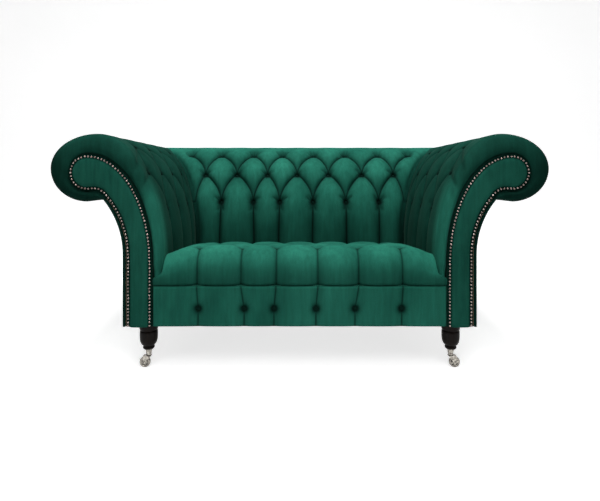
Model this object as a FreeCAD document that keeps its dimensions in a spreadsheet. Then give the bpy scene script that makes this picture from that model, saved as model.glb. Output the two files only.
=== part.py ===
import FreeCAD, Part
import math
import os

Vector = FreeCAD.Vector

doc = FreeCAD.newDocument("chesterfield_sofa")
sheet = doc.addObject("Spreadsheet::Sheet", "sizes")

# Driving dimensions in millimetres, unless the note says otherwise. Offsets are measured
# outwards from the inner face of an arm or of the back, depths rearwards from the nail heads.
SIZES = [
    ("seat_half_width", 498, "centre line to the inner face of an arm"),
    ("seat_depth", 560, "nail heads to the inner face of the back"),
    ("seam_height", 316, "seam between the border and the seat"),
    ("underside", 168, "lower edge of the upholstery"),
    ("shoulder_height", 402, "where the inner face starts to lean outwards"),
    ("ridge_offset", 240, "highest line of the roll"),
    ("ridge_height", 870, "overall height"),
    ("scroll_reach", 402, "outermost line of the roll"),
    ("scroll_drop", 127, "outermost line below the highest line of the roll"),
    ("roll_foot_offset", 280, "lowest line of the roll"),
    ("roll_foot_drop", 249, "lowest line below the highest"),
    ("crease_drop", 238, "where the roll meets the outer panel, below the highest line"),
    ("pad_thickness", 56, "stuffing at the foot of the inner face"),
    ("pad_gap", 1, "clearance between neighbouring pads"),
    ("mitre_gap", 0, "clearance where hard pieces meet at the corners"),
    ("edge_round", 16, "rounding of an arm pad's front edge"),
    ("edge_step", 5, "depth of the first line of that rounding"),
    ("least_station", 3, "least distance between two lines of an arm pad"),
    ("groove_depth", 15, "pleats below the crown of the tufts"),
    ("tuft_fullness", 0.6, "power that shapes a tuft; smaller is fuller"),
    ("stuffing_lap", 10, "stuffing drawn in over the crease"),
    ("button_margin", 45, "least distance of a button from the end of its pad"),
    ("turning_sides", 20, "count of flats round a turned piece"),
    ("small_sides", 12, "count of flats round a bolt, stem or axle"),
    ("button_sides", 6, "count of flats round a button or its seat"),
    ("nail_sides", 5, "count of flats round a nail head"),
    ("seat_room", 30, "depth of the hole that a button's seat makes above its foot"),
    ("button_crown", 6, "radius of a button's top face"),
    ("button_sink", 9, "buttons below the pleats"),
    ("button_radius", 10, "covered buttons"),
    ("button_height", 6, "covered buttons"),
    ("button_gap", 0.3, "clearance round a button"),
    ("back_pitch", 160, "spacing of the buttons across the back"),
    ("arm_pitch", 154, "spacing of the buttons along an arm"),
    ("arm_first_button", 100, "depth of the first button of an arm"),
    ("upper_row_drop", 48, "top row of buttons below the highest line of the roll"),
    ("middle_row_drop", 144, "middle row of buttons below that line"),
    ("lower_row_drop", 274, "lowest row of buttons below that line"),
    ("seat_pitch", 151, "spacing of the pleats of the seat and border"),
    ("seat_crown", 444, "height of the seat at its first row of buttons"),
    ("seat_rear_height", 402, "height of the seat at the back"),
    ("seat_first_row", 80, "depth of the first row of buttons"),
    ("seat_row_spacing", 155, "depth from row to row"),
    ("nose_height", 372, "where the front of the seat starts to round over"),
    ("ear_reach", 34, "how far the seat's nose spreads in front of an arm"),
    ("ear_height", 88, "height of that spread above the seam"),
    ("ear_middle_reach", 23, "that spread at half its height"),
    ("ear_root", 50, "how far that spread is carried into the seat"),
    ("deck_thickness", 10, "felt deck"),
    ("deck_margin", 44, "deck beyond the inner face of an arm"),
    ("wire_size", 4, "zigzag spring wire"),
    ("spring_half_width", 24, "zigzag springs"),
    ("spring_pitch", 148, "spacing of the springs"),
    ("spring_runs", 10, "count of straight runs in a spring"),
    ("clip_width", 64, "spring clips"),
    ("clip_length", 16, "spring clips"),
    ("clip_wall", 2, "spring clips above the wire"),
    ("rail_thickness", 28, "base rails"),
    ("base_offset", 134, "outer face of the base frame"),
    ("cover_thickness", 2, "dust cover"),
    ("cover_gap", 6, "dust cover inside the panels"),
    ("centre_rail_drop", 40, "centre rail below the springs"),
    ("block_size", 70, "corner blocks in plan"),
    ("block_height", 45, "corner blocks"),
    ("board_thickness", 18, "scroll boards"),
    ("board_inner_offset", 80, "inner edge of the scroll boards"),
    ("board_clearance", 2, "hessian to the top of a scroll board"),
    ("top_rail_inner", 192, "inner face of a top rail"),
    ("top_rail_outer", 300, "outer face of a top rail"),
    ("top_rail_drop", 168, "lower face of a top rail below the highest line of the roll"),
    ("top_rail_depth", 50, "top rails"),
    ("hessian_thickness", 2, "hessian"),
    ("tack_rail_height", 36, "tack rails"),
    ("panel_thickness", 8, "outer panels"),
    ("panel_curve", 316, "radius of the hollow under the roll"),
    ("panel_straight_height", 430, "where the outer panel starts to curve"),
    ("panel_setback", 6, "front edge of the outer panel behind the nail heads"),
    ("nail_height", 3, "nail heads"),
    ("nail_radius", 4.9, "nail heads"),
    ("nail_top_radius", 2.7, "flat top that stands for the dome of a head"),
    ("nail_pitch", 12.2, "spacing of the nails"),
    ("nail_inset", 10, "nail line inside the edge of the facing"),
    ("facing_thickness", 12, "arm facings and border"),
    ("facing_gap", 1.5, "clearance between a facing and the outer panel"),
    ("facing_inner", 35, "inner edge of a facing"),
    ("facing_shoulder", 400, "where that edge starts to curve"),
    ("facing_scroll_offset", 272, "centre of the facing's scroll"),
    ("facing_scroll_drop", 143, "centre of the facing's scroll below the highest line of the roll"),
    ("facing_scroll_radius", 69, "radius of the facing's scroll"),
    ("facing_fillet", 45, "radius between the facing's scroll and its hollow side"),
    ("border_flute", 6, "depth of the border's flutes"),
    ("border_button_height", 233, "buttons of the border"),
    ("leg_inset", 67, "leg axes outside the inner face of an arm"),
    ("front_leg_depth", 62, "axes of the front legs"),
    ("leg_radius", 33.5, "top of a front leg"),
    ("collar_foot", 145, "lower edge of a front leg's collar"),
    ("collar_groove", 2, "depth and half height of the groove under the collar"),
    ("belly_radius", 32.7, "front leg below the groove"),
    ("belly_height", 115, "where the front leg starts to round in"),
    ("bowl_radius", 30, "upper part of the rounded foot"),
    ("bowl_height", 100, "height of that radius"),
    ("ankle_radius", 25, "lower part of the rounded foot"),
    ("ankle_height", 86, "height of that radius"),
    ("toe_radius", 18, "end of the rounded foot"),
    ("toe_height", 75, "height of that radius"),
    ("cup_height", 70, "top of a castor cup"),
    ("cup_radius", 14, "top of a castor cup"),
    ("cup_foot_radius", 9, "bottom of a castor cup"),
    ("cup_foot_height", 44.5, "bottom of a castor cup"),
    ("cup_wall", 1.2, "castor cups"),
    ("cup_floor", 3.5, "floor of a castor cup"),
    ("cup_fit", 0.3, "clearance of the leg in its cup"),
    ("stem_radius", 4, "castor stems"),
    ("stem_head_radius", 6, "riveted head of a stem"),
    ("stem_head_height", 2, "riveted head of a stem"),
    ("head_room", 1.5, "leg above the riveted head"),
    ("running_fit", 0.05, "radial clearance of stems, axles and bolts"),
    ("swivel_gap", 0.5, "horn below its cup"),
    ("horn_plate", 2.5, "thickness of a horn"),
    ("horn_round", 9, "radius of a horn's top plate"),
    ("wheel_radius", 20, "castor wheels"),
    ("wheel_width", 14, "castor wheels"),
    ("wheel_trail", 14, "axle behind the swivel axis"),
    ("wheel_gap", 0.6, "wheel to horn"),
    ("tread_round", 2, "rounding of a wheel's edge"),
    ("axle_radius", 2.5, "castor axles"),
    ("axle_boss", 5.5, "horn round an axle"),
    ("rivet_radius", 4, "heads of an axle"),
    ("rivet_height", 1.2, "heads of an axle"),
    ("rear_leg_top", 54, "side of a rear leg at the top"),
    ("rear_leg_foot", 36, "side of a rear leg at the floor"),
    ("rear_leg_rake", 34, "how far a rear leg leans to the rear"),
    ("bolt_radius", 4, "leg bolts"),
    ("bolt_in_leg", 30, "depth of a bolt in its leg"),
    ("bolt_in_block", 36, "depth of a bolt in its block"),
]
for row, (alias, value, note) in enumerate(SIZES, 1):
    sheet.set(f"A{row}", note)
    sheet.set(f"B{row}", str(value))
    sheet.setAlias(f"B{row}", alias)
doc.recompute()


def size(alias):
    """Value of one cell of the sheet."""
    return float(sheet.get(alias))


# Places that several pieces share, as expressions on the sheet
FRONT = "(-(sizes.seat_depth + sizes.scroll_reach) / 2)"
BASE_FRONT = f"({FRONT} + sizes.nail_height + sizes.facing_thickness)"
BACK_FACE = f"({FRONT} + sizes.seat_depth)"
BASE_BOTTOM = "(sizes.underside + sizes.cover_thickness)"
RAIL_TOP = "(sizes.seam_height - sizes.deck_thickness - sizes.wire_size)"
RAIL_INNER = "(sizes.base_offset - sizes.rail_thickness)"
LEG_X = "(sizes.seat_half_width + sizes.leg_inset)"
FRONT_LEG_Y = f"({FRONT} + sizes.front_leg_depth)"
REAR_LEG_Y = f"({BACK_FACE} + {RAIL_INNER} - sizes.rear_leg_top / 4)"

# The same places as numbers, for the shapes that are worked out in code
front_y = -(size("seat_depth") + size("scroll_reach")) / 2
base_front_y = front_y + size("nail_height") + size("facing_thickness")
half_width = size("seat_half_width")
back_y = front_y + size("seat_depth")
rail_top = size("seam_height") - size("deck_thickness") - size("wire_size")
rail_inner = size("base_offset") - size("rail_thickness")
scroll_height = size("ridge_height") - size("scroll_drop")
roll_foot_height = size("ridge_height") - size("roll_foot_drop")
crease_height = size("ridge_height") - size("crease_drop")
row_heights = [size("ridge_height") - size(f"{row}_row_drop") for row in ("upper", "middle", "lower")]
rail_low = size("ridge_height") - size("top_rail_drop")
rail_high = rail_low + size("top_rail_depth")

# The crease lies on the outer face of the panel, which is straight and then curves outwards
panel_rise = crease_height - size("panel_straight_height")
crease_offset = (size("base_offset") + size("panel_thickness") + size("panel_curve")
                 - math.sqrt(size("panel_curve") ** 2 - panel_rise ** 2))


def sheet_value(text):
    """Number that an expression on the sheet gives."""
    return float(sheet.evalExpression(text))


def bind(part, **expressions):
    """Bind properties of an object to the sheet; x, y and z are its place."""
    for name, text in expressions.items():
        path = f"Placement.Base.{name}" if name in ("x", "y", "z") else name
        part.setExpression(path, text)


def block(name, length, width, height, x, y, z):
    """Rectangular piece from its three edges and its lowest corner, all bound to the sheet."""
    part = doc.addObject("Part::Box", name)
    part.Label = name
    bind(part, Length=length, Width=width, Height=height, x=x, y=y, z=z)
    return part


def round_bar(name, radius, height, x, y, z, sides="sizes.small_sides"):
    """Upright round piece with many flats, bound to the sheet; its corners lie on the radius."""
    part = doc.addObject("Part::Prism", name)
    part.Label = name
    bind(part, Polygon=sides, Circumradius=radius, Height=height, x=x, y=y, z=z)
    return part


def bore_radius(radius, sides="sizes.small_sides"):
    """Radius to the corners of a bore whose flats clear a bar of a radius by the running fit."""
    return f"(({radius} + sizes.running_fit) / cos(180 / {sides}))"


def joined(name, parts):
    """One piece, or one group of separate solids, from several objects."""
    part = doc.addObject("Part::Compound", name)
    part.Label = name
    part.Links = parts
    return part


def fused(name, parts):
    """One solid from several that touch."""
    part = doc.addObject("Part::MultiFuse", name)
    part.Label = name
    part.Shapes = parts
    return part


def cut(name, base, tool):
    """One piece with another's room taken out of it."""
    part = doc.addObject("Part::Cut", name)
    part.Label = name
    part.Base = base
    part.Tool = tool
    return part


def mirrored(name, source):
    """Left-hand copy of a right-hand piece."""
    part = doc.addObject("Part::Mirroring", name)
    part.Label = name
    part.Source = source
    part.Normal = Vector(1, 0, 0)
    return part


def shaped(name, shape):
    """Piece whose shape is worked out in code from the sheet."""
    part = doc.addObject("Part::Feature", name)
    part.Label = name
    part.Shape = shape
    return part


# Section of an arm or of the back: points are (offset, height)
def arm_point(offset, height, depth):
    """Point of the right arm; depth is a Y value."""
    return Vector(half_width + offset, depth, height)


def back_point(offset, height, across):
    """Point of the back; across is an X value."""
    return Vector(across, back_y + offset, height)


HOLLOW_STEPS = 6


def hollow_edge(offset, radius, top_height):
    """Outer edge of the frame: straight up, then an arc that leans out under the roll."""
    straight = size("panel_straight_height")
    centre = (offset + radius, straight)
    top_angle = math.asin((top_height - straight) / radius)
    points = [(offset, size("underside"))]
    for step in range(HOLLOW_STEPS + 1):
        angle = top_angle * step / HOLLOW_STEPS
        points.append((centre[0] - radius * math.cos(angle), straight + radius * math.sin(angle)))
    return points


def section_face(points, place):
    """Planar face through section points put in space by place."""
    corners = [place(offset, height) for offset, height in points]
    return Part.Face(Part.makePolygon(corners + corners[:1]))


def run_of_section(points, along_back, start=None):
    """Section carried along the right arm or the back, and cut off on the mitre."""
    corners = []
    gap = size("mitre_gap") / 2
    for offset, height in points:
        if along_back:
            end = half_width + offset - gap
            corners.append((back_point(offset, height, -end), back_point(offset, height, end)))
        else:
            end = back_y + offset - gap
            corners.append((arm_point(offset, height, start), arm_point(offset, height, end)))
    faces = [polygon_face(ends) for ends in zip(*corners)]
    for (near, far), (next_near, next_far) in zip(corners, corners[1:] + corners[:1]):
        faces.append(polygon_face([near, far, next_far, next_near]))
    return solid_from(faces)


def polygon_face(corners):
    """Planar face through corners in order."""
    corners = list(corners)
    return Part.Face(Part.makePolygon(corners + corners[:1]))


def solid_from(faces):
    """Solid from planar faces that meet edge to edge."""
    shell = Part.makeShell(faces)
    shell.sewShape()
    solid = Part.makeSolid(Part.Shell(shell.Faces))
    if solid.Volume < 0:
        solid.reverse()
    return solid


def frustum(rings):
    """Solid between rings of corners that lie on flats; the first and last ring are its ends."""
    faces = [polygon_face(rings[0]), polygon_face(rings[-1])]
    for ring, next_ring in zip(rings, rings[1:]):
        for index in range(len(ring)):
            other = (index + 1) % len(ring)
            faces.append(polygon_face([ring[index], ring[other], next_ring[other], next_ring[index]]))
    return solid_from(faces)


def ring_of(centre, normal, radius, sides):
    """Corners of a regular outline about a centre, square to a normal."""
    turn = FreeCAD.Rotation(Vector(0, 0, 1), normal)
    turns = [2 * math.pi * index / sides for index in range(sides)]
    return [centre + turn.multVec(Vector(radius * math.cos(a), radius * math.sin(a), 0)) for a in turns]


# Base frame
side_run = f"{BACK_FACE} + sizes.base_offset - {BASE_FRONT}"
side_rail = block("side_rail_right", "sizes.rail_thickness", side_run, f"{RAIL_TOP} - {BASE_BOTTOM}",
                  f"sizes.seat_half_width + {RAIL_INNER}", BASE_FRONT, BASE_BOTTOM)
mirrored("side_rail_left", side_rail)
cross_run = f"2 * (sizes.seat_half_width + {RAIL_INNER})"
for name, y in (("front_rail", BASE_FRONT), ("rear_rail", f"{BACK_FACE} + {RAIL_INNER}")):
    block(name, cross_run, "sizes.rail_thickness", f"{RAIL_TOP} - {BASE_BOTTOM}",
          f"-({cross_run}) / 2", y, BASE_BOTTOM)
inner_front = f"({BASE_FRONT} + sizes.rail_thickness)"
inner_rear = f"({BACK_FACE} + {RAIL_INNER})"
block("centre_rail", "sizes.rail_thickness", f"{inner_rear} - {inner_front}",
      f"{RAIL_TOP} - sizes.centre_rail_drop - {BASE_BOTTOM}",
      "-sizes.rail_thickness / 2", inner_front, BASE_BOTTOM)

leg_places = [(side, row, y) for side, x_sign in (("left", "-"), ("right", "")) for row, y in
              (("front", FRONT_LEG_Y), ("rear", REAR_LEG_Y))]
blocks = []
for side, row, leg_y in leg_places:
    y = inner_front if row == "front" else f"{inner_rear} - sizes.block_size"
    edge = f"sizes.seat_half_width + {RAIL_INNER}"
    x = f"{edge} - sizes.block_size" if side == "right" else f"-({edge})"
    blocks.append(block(f"block_{side}_{row}", "sizes.block_size", "sizes.block_size",
                        "sizes.block_height", x, y, BASE_BOTTOM))
bolts, bores = [], []
for side, row, leg_y in leg_places:
    x = LEG_X if side == "right" else f"-{LEG_X}"
    low, high = f"{BASE_BOTTOM} - sizes.bolt_in_leg", "sizes.bolt_in_leg + sizes.bolt_in_block"
    bolts.append(round_bar(f"bolt_{side}_{row}", "sizes.bolt_radius", high, x, leg_y, low))
    bores.append(round_bar(f"bore_{side}_{row}", bore_radius("sizes.bolt_radius"), high, x, leg_y, low))
bolt_bores = joined("bolt_bores", bores)
joined("leg_bolts", bolts)
cut("corner_blocks", joined("block_stock", blocks), bolt_bores)


def turned(name, profile, sides="sizes.turning_sides"):
    """Turned piece from a closed outline of (radius, height) expressions, with flats round its axis."""
    count = round(sheet_value(sides))
    corners = [(sheet_value(radius), sheet_value(height)) for radius, height in profile]
    rings = [ring_of(Vector(0, 0, height), Vector(0, 0, 1), radius, count) for radius, height in corners]
    faces = []
    for (radius, _), ring, (next_radius, _), next_ring in zip(
            corners, rings, corners[1:] + corners[:1], rings[1:] + rings[:1]):
        for index in range(count):
            other = (index + 1) % count
            outline = [ring[index], ring[other]] if radius else [ring[index]]
            outline += [next_ring[other], next_ring[index]] if next_radius else [next_ring[index]]
            if len(outline) > 2:
                faces.append(polygon_face(outline))
    return shaped(name, solid_from(faces).removeSplitter())


# Front legs, turned, with a bolt hole above and a tenon in the castor cup below
bolt_room = bore_radius("sizes.bolt_radius", "sizes.turning_sides")
bolt_floor = f"({BASE_BOTTOM} - sizes.bolt_in_leg)"
cup_floor_top = "(sizes.cup_foot_height + sizes.cup_floor)"
head_top = f"({cup_floor_top} + 2 * sizes.running_fit + sizes.stem_head_height)"
tenon_foot = f"({head_top} + sizes.head_room)"
cup_room = "(sizes.cup_radius - sizes.cup_wall)"
cup_foot_room = "(sizes.cup_foot_radius - sizes.cup_wall)"
cup_shoulder = "(sizes.cup_height + sizes.running_fit)"
front_leg = turned("front_leg_stock", [
    (bolt_room, BASE_BOTTOM),
    ("sizes.leg_radius", BASE_BOTTOM),
    ("sizes.leg_radius", "sizes.collar_foot"),
    ("sizes.belly_radius - sizes.collar_groove", "sizes.collar_foot - sizes.collar_groove"),
    ("sizes.belly_radius", "sizes.collar_foot - 2 * sizes.collar_groove"),
    ("sizes.belly_radius", "sizes.belly_height"),
    ("sizes.bowl_radius", "sizes.bowl_height"),
    ("sizes.ankle_radius", "sizes.ankle_height"),
    ("sizes.toe_radius", "sizes.toe_height"),
    ("sizes.cup_radius", cup_shoulder),
    (f"{cup_room} - sizes.cup_fit", cup_shoulder),
    (f"{cup_foot_room} - sizes.cup_fit", tenon_foot),
    ("0", tenon_foot),
    ("0", bolt_floor),
    (bolt_room, bolt_floor),
])
stem_room = bore_radius("sizes.stem_radius", "sizes.turning_sides")
castor_cup = turned("castor_cup_stock", [
    (stem_room, "sizes.cup_foot_height"),
    ("sizes.cup_foot_radius", "sizes.cup_foot_height"),
    ("sizes.cup_radius", "sizes.cup_height"),
    (cup_room, "sizes.cup_height"),
    (cup_foot_room, cup_floor_top),
    (stem_room, cup_floor_top),
])

# Castor: a stem with its riveted head, a top plate and two cheeks that hold the axle
horn_top = "(sizes.cup_foot_height - sizes.swivel_gap)"
cheek_inner = "(sizes.wheel_width / 2 + sizes.wheel_gap)"
cheek_outer = f"({cheek_inner} + sizes.horn_plate)"
stem = round_bar("stem", "sizes.stem_radius", f"{head_top} - {horn_top}", "0", "0", horn_top)
stem_head = round_bar("stem_head", "sizes.stem_head_radius", "sizes.stem_head_height", "0", "0",
                      f"{cup_floor_top} + 2 * sizes.running_fit")
plate = block("plate", "sizes.wheel_trail + 2 * sizes.horn_round - sizes.axle_boss / 2", f"2 * {cheek_outer}",
              "sizes.horn_plate", "-sizes.horn_round", f"-{cheek_outer}", f"{horn_top} - sizes.horn_plate")
trail, boss = size("wheel_trail"), size("axle_boss")
plate_foot = sheet_value(f"{horn_top} - sizes.horn_plate")
plate_end = trail + size("horn_round") - boss / 2
axle_z = size("wheel_radius")


def cheek_shape():
    """Both cheeks: a strap that narrows from the top plate to the boss round the axle."""
    outline = Part.makePolygon([
        Vector(-size("horn_round"), 0, plate_foot), Vector(plate_end, 0, plate_foot),
        Vector(trail + boss, 0, axle_z), Vector(trail - boss, 0, axle_z),
        Vector(-size("horn_round"), 0, plate_foot)])
    sides, axis = round(size("small_sides")), Vector(0, 1, 0)
    ends = [Vector(trail, y, axle_z) for y in (0, size("horn_plate"))]
    boss_disc = frustum([ring_of(end, axis, boss, sides) for end in ends])
    hole = frustum([ring_of(end, axis, sheet_value(bore_radius("sizes.axle_radius")), sides) for end in ends])
    strap = Part.Face(outline).extrude(Vector(0, size("horn_plate"), 0)).fuse(boss_disc)
    strap = strap.cut(hole).removeSplitter()
    near, far = strap.copy(), strap.copy()
    near.translate(Vector(0, sheet_value(cheek_inner), 0))
    far.translate(Vector(0, -sheet_value(cheek_outer), 0))
    return Part.makeCompound([near, far])


cheeks = shaped("cheeks", cheek_shape())
castor_horn = fused("castor_horn_stock", [plate, cheeks, stem, stem_head])
wheel_bore = bore_radius("sizes.axle_radius", "sizes.turning_sides")
wheel_turning = turned("wheel_turning", [
    (wheel_bore, "-sizes.wheel_width / 2"),
    ("sizes.wheel_radius - sizes.tread_round", "-sizes.wheel_width / 2"),
    ("sizes.wheel_radius", "sizes.tread_round - sizes.wheel_width / 2"),
    ("sizes.wheel_radius", "sizes.wheel_width / 2 - sizes.tread_round"),
    ("sizes.wheel_radius - sizes.tread_round", "sizes.wheel_width / 2"),
    (wheel_bore, "sizes.wheel_width / 2"),
])
axle_half = f"({cheek_outer} + sizes.running_fit)"
axle_turning = turned("axle_turning", [
    ("0", f"-{axle_half} - sizes.rivet_height"),
    ("sizes.rivet_radius", f"-{axle_half} - sizes.rivet_height"),
    ("sizes.rivet_radius", f"-{axle_half}"),
    ("sizes.axle_radius", f"-{axle_half}"),
    ("sizes.axle_radius", axle_half),
    ("sizes.rivet_radius", axle_half),
    ("sizes.rivet_radius", f"{axle_half} + sizes.rivet_height"),
    ("0", f"{axle_half} + sizes.rivet_height"),
], "sizes.small_sides")


def placed(name, source, x, y, z, lying=False):
    """Right-hand piece set in its place, and its left-hand mirror image."""
    part = doc.addObject("Part::Compound", f"{name}_right")
    part.Label = f"{name}_right"
    part.Links = [source]
    if lying:
        part.Placement = FreeCAD.Placement(Vector(), FreeCAD.Rotation(Vector(1, 0, 0), 90))
    bind(part, x=x, y=y, z=z)
    mirrored(f"{name}_left", part)


placed("front_leg", front_leg, LEG_X, FRONT_LEG_Y, "0")
placed("castor_cup", castor_cup, LEG_X, FRONT_LEG_Y, "0")
placed("castor_horn", castor_horn, LEG_X, FRONT_LEG_Y, "0")
axle_x = f"{LEG_X} + sizes.wheel_trail"
placed("castor_wheel", wheel_turning, axle_x, FRONT_LEG_Y, "sizes.wheel_radius", lying=True)
placed("castor_axle", axle_turning, axle_x, FRONT_LEG_Y, "sizes.wheel_radius", lying=True)


def rear_leg_shape():
    """Square leg that tapers and leans to the rear, with the hole for its bolt."""
    x, y, top = sheet_value(LEG_X), sheet_value(REAR_LEG_Y), sheet_value(BASE_BOTTOM)
    rings = []
    for side, rake, z in ((size("rear_leg_top"), 0, top),
                          (size("rear_leg_foot"), size("rear_leg_rake"), 0)):
        rings.append([Vector(x + a * side / 2, y + rake + b * side / 2, z)
                      for a, b in ((-1, -1), (1, -1), (1, 1), (-1, 1))])
    leg = frustum(rings)
    sides, radius = round(size("small_sides")), sheet_value(bore_radius("sizes.bolt_radius"))
    hole = frustum([ring_of(Vector(x, y, z), Vector(0, 0, 1), radius, sides)
                    for z in (sheet_value(bolt_floor), top)])
    return leg.cut(hole)


rear_leg = shaped("rear_leg_right", rear_leg_shape())
mirrored("rear_leg_left", rear_leg)

# Scroll boards, the rails that they carry, and the hessian that is stretched between the rails
hessian_out = size("pad_thickness") + size("hessian_thickness")


def board_section():
    """Outline of a scroll board, from the base frame up to the top rail."""
    panel_inner = hollow_edge(size("base_offset"), size("panel_curve") + size("panel_thickness"), crease_height)
    outer = [point for point in panel_inner if point[1] > rail_top]
    clear = size("hessian_thickness") + size("board_clearance")
    return ([(rail_inner, rail_top), (size("base_offset"), rail_top)] + outer
            + [(crease_offset + size("stuffing_lap") / 2, rail_low), (size("top_rail_inner") + clear, rail_low),
               (size("board_inner_offset"), size("shoulder_height")),
               (size("board_inner_offset"), size("seam_height")), (rail_inner, size("seam_height"))])


def arm_board(depth):
    """Scroll board of the right arm, with its front face at a depth."""
    face = section_face(board_section(), lambda offset, height: arm_point(offset, height, depth))
    return face.extrude(Vector(0, size("board_thickness"), 0))


def back_board(across):
    """Scroll board of the back, centred on an X value."""
    left = across - size("board_thickness") / 2
    face = section_face(board_section(), lambda offset, height: back_point(offset, height, left))
    return face.extrude(Vector(size("board_thickness"), 0, 0))


arm_board_span = back_y - base_front_y
arm_boards = shaped("arm_boards_right", Part.makeCompound(
    [arm_board(base_front_y + share * arm_board_span) for share in (0, 0.5, 1)]))
mirrored("arm_boards_left", arm_boards)
spring_count = int((half_width - size("spring_half_width")) // size("spring_pitch"))
board_lines = [side * (spring_count + place) * size("spring_pitch")
               for side in (-1, 1) for place in (0.5, -1.5)]
shaped("back_boards", Part.makeCompound([back_board(across) for across in board_lines]))

TOP_RAIL = [(size("top_rail_inner"), rail_low), (size("top_rail_outer"), rail_low),
            (size("top_rail_outer"), rail_high), (size("top_rail_inner"), rail_high)]
tack_low = size("seam_height")
tack_high = tack_low + size("tack_rail_height")
TACK_RAIL = [(hessian_out, tack_low), (size("board_inner_offset"), tack_low),
             (size("board_inner_offset"), tack_high), (hessian_out, tack_high)]
HESSIAN = [(size("pad_thickness"), tack_low), (size("pad_thickness"), size("shoulder_height")),
           (size("top_rail_inner"), rail_low), (size("top_rail_inner") + size("hessian_thickness"), rail_low),
           (hessian_out, size("shoulder_height")), (hessian_out, tack_low)]
panel_inner_edge = hollow_edge(size("base_offset"), size("panel_curve") + size("panel_thickness"), crease_height)
panel_outer_edge = hollow_edge(size("base_offset") + size("panel_thickness"), size("panel_curve"), crease_height)
PANEL = panel_inner_edge + panel_outer_edge[::-1]
for name, section, start in (("top_rail", TOP_RAIL, base_front_y), ("tack_rail", TACK_RAIL, base_front_y),
                             ("hessian", HESSIAN, base_front_y)):
    arm_run = shaped(f"arm_{name}_right", run_of_section(section, False, start))
    mirrored(f"arm_{name}_left", arm_run)
    shaped(f"back_{name}", run_of_section(section, True))
panel = shaped("outer_arm_panel_right", run_of_section(PANEL, False, front_y + size("panel_setback")))
mirrored("outer_arm_panel_left", panel)
shaped("outer_back_panel", run_of_section(PANEL, True))


# Tufted padding
class Level:
    """One line along a pad: its place in the section, its outward normal and its tuft row.

    Rows are counted from the first row of buttons, so whole numbers are rows of buttons. Hold is
    how deep the pleats are there, from 0 to 1.
    """

    def __init__(self, offset, height, normal, row, hold=1.0):
        length = math.hypot(*normal)
        self.offset, self.height, self.row, self.hold = offset, height, row, hold
        self.normal = (normal[0] / length, normal[1] / length)

    def sunk(self, depth):
        """Section point at a depth under the crown line."""
        return self.offset - self.normal[0] * depth, self.height - self.normal[1] * depth


ROWS = 3
STEPS = 3


def crown(column, row):
    """Fullness of a tuft, from 0 on a pleat to 1 at its middle; columns are half pitches."""
    power = size("tuft_fullness")
    if 1 <= row <= ROWS:
        slopes = math.sin(math.pi * (column + row) / 2) * math.sin(math.pi * (column - row) / 2)
        return abs(slopes) ** power
    return abs(math.cos(math.pi * column / 2)) ** (2 * power)


def button_columns(row, low, high, column_of):
    """Columns of the buttons of a row between two ends of a pad."""
    margin = size("button_margin")
    first, last = math.ceil(column_of(low + margin)), math.floor(column_of(high - margin))
    return [column for column in range(first, last + 1) if (column + row) % 2 == 0]


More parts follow.
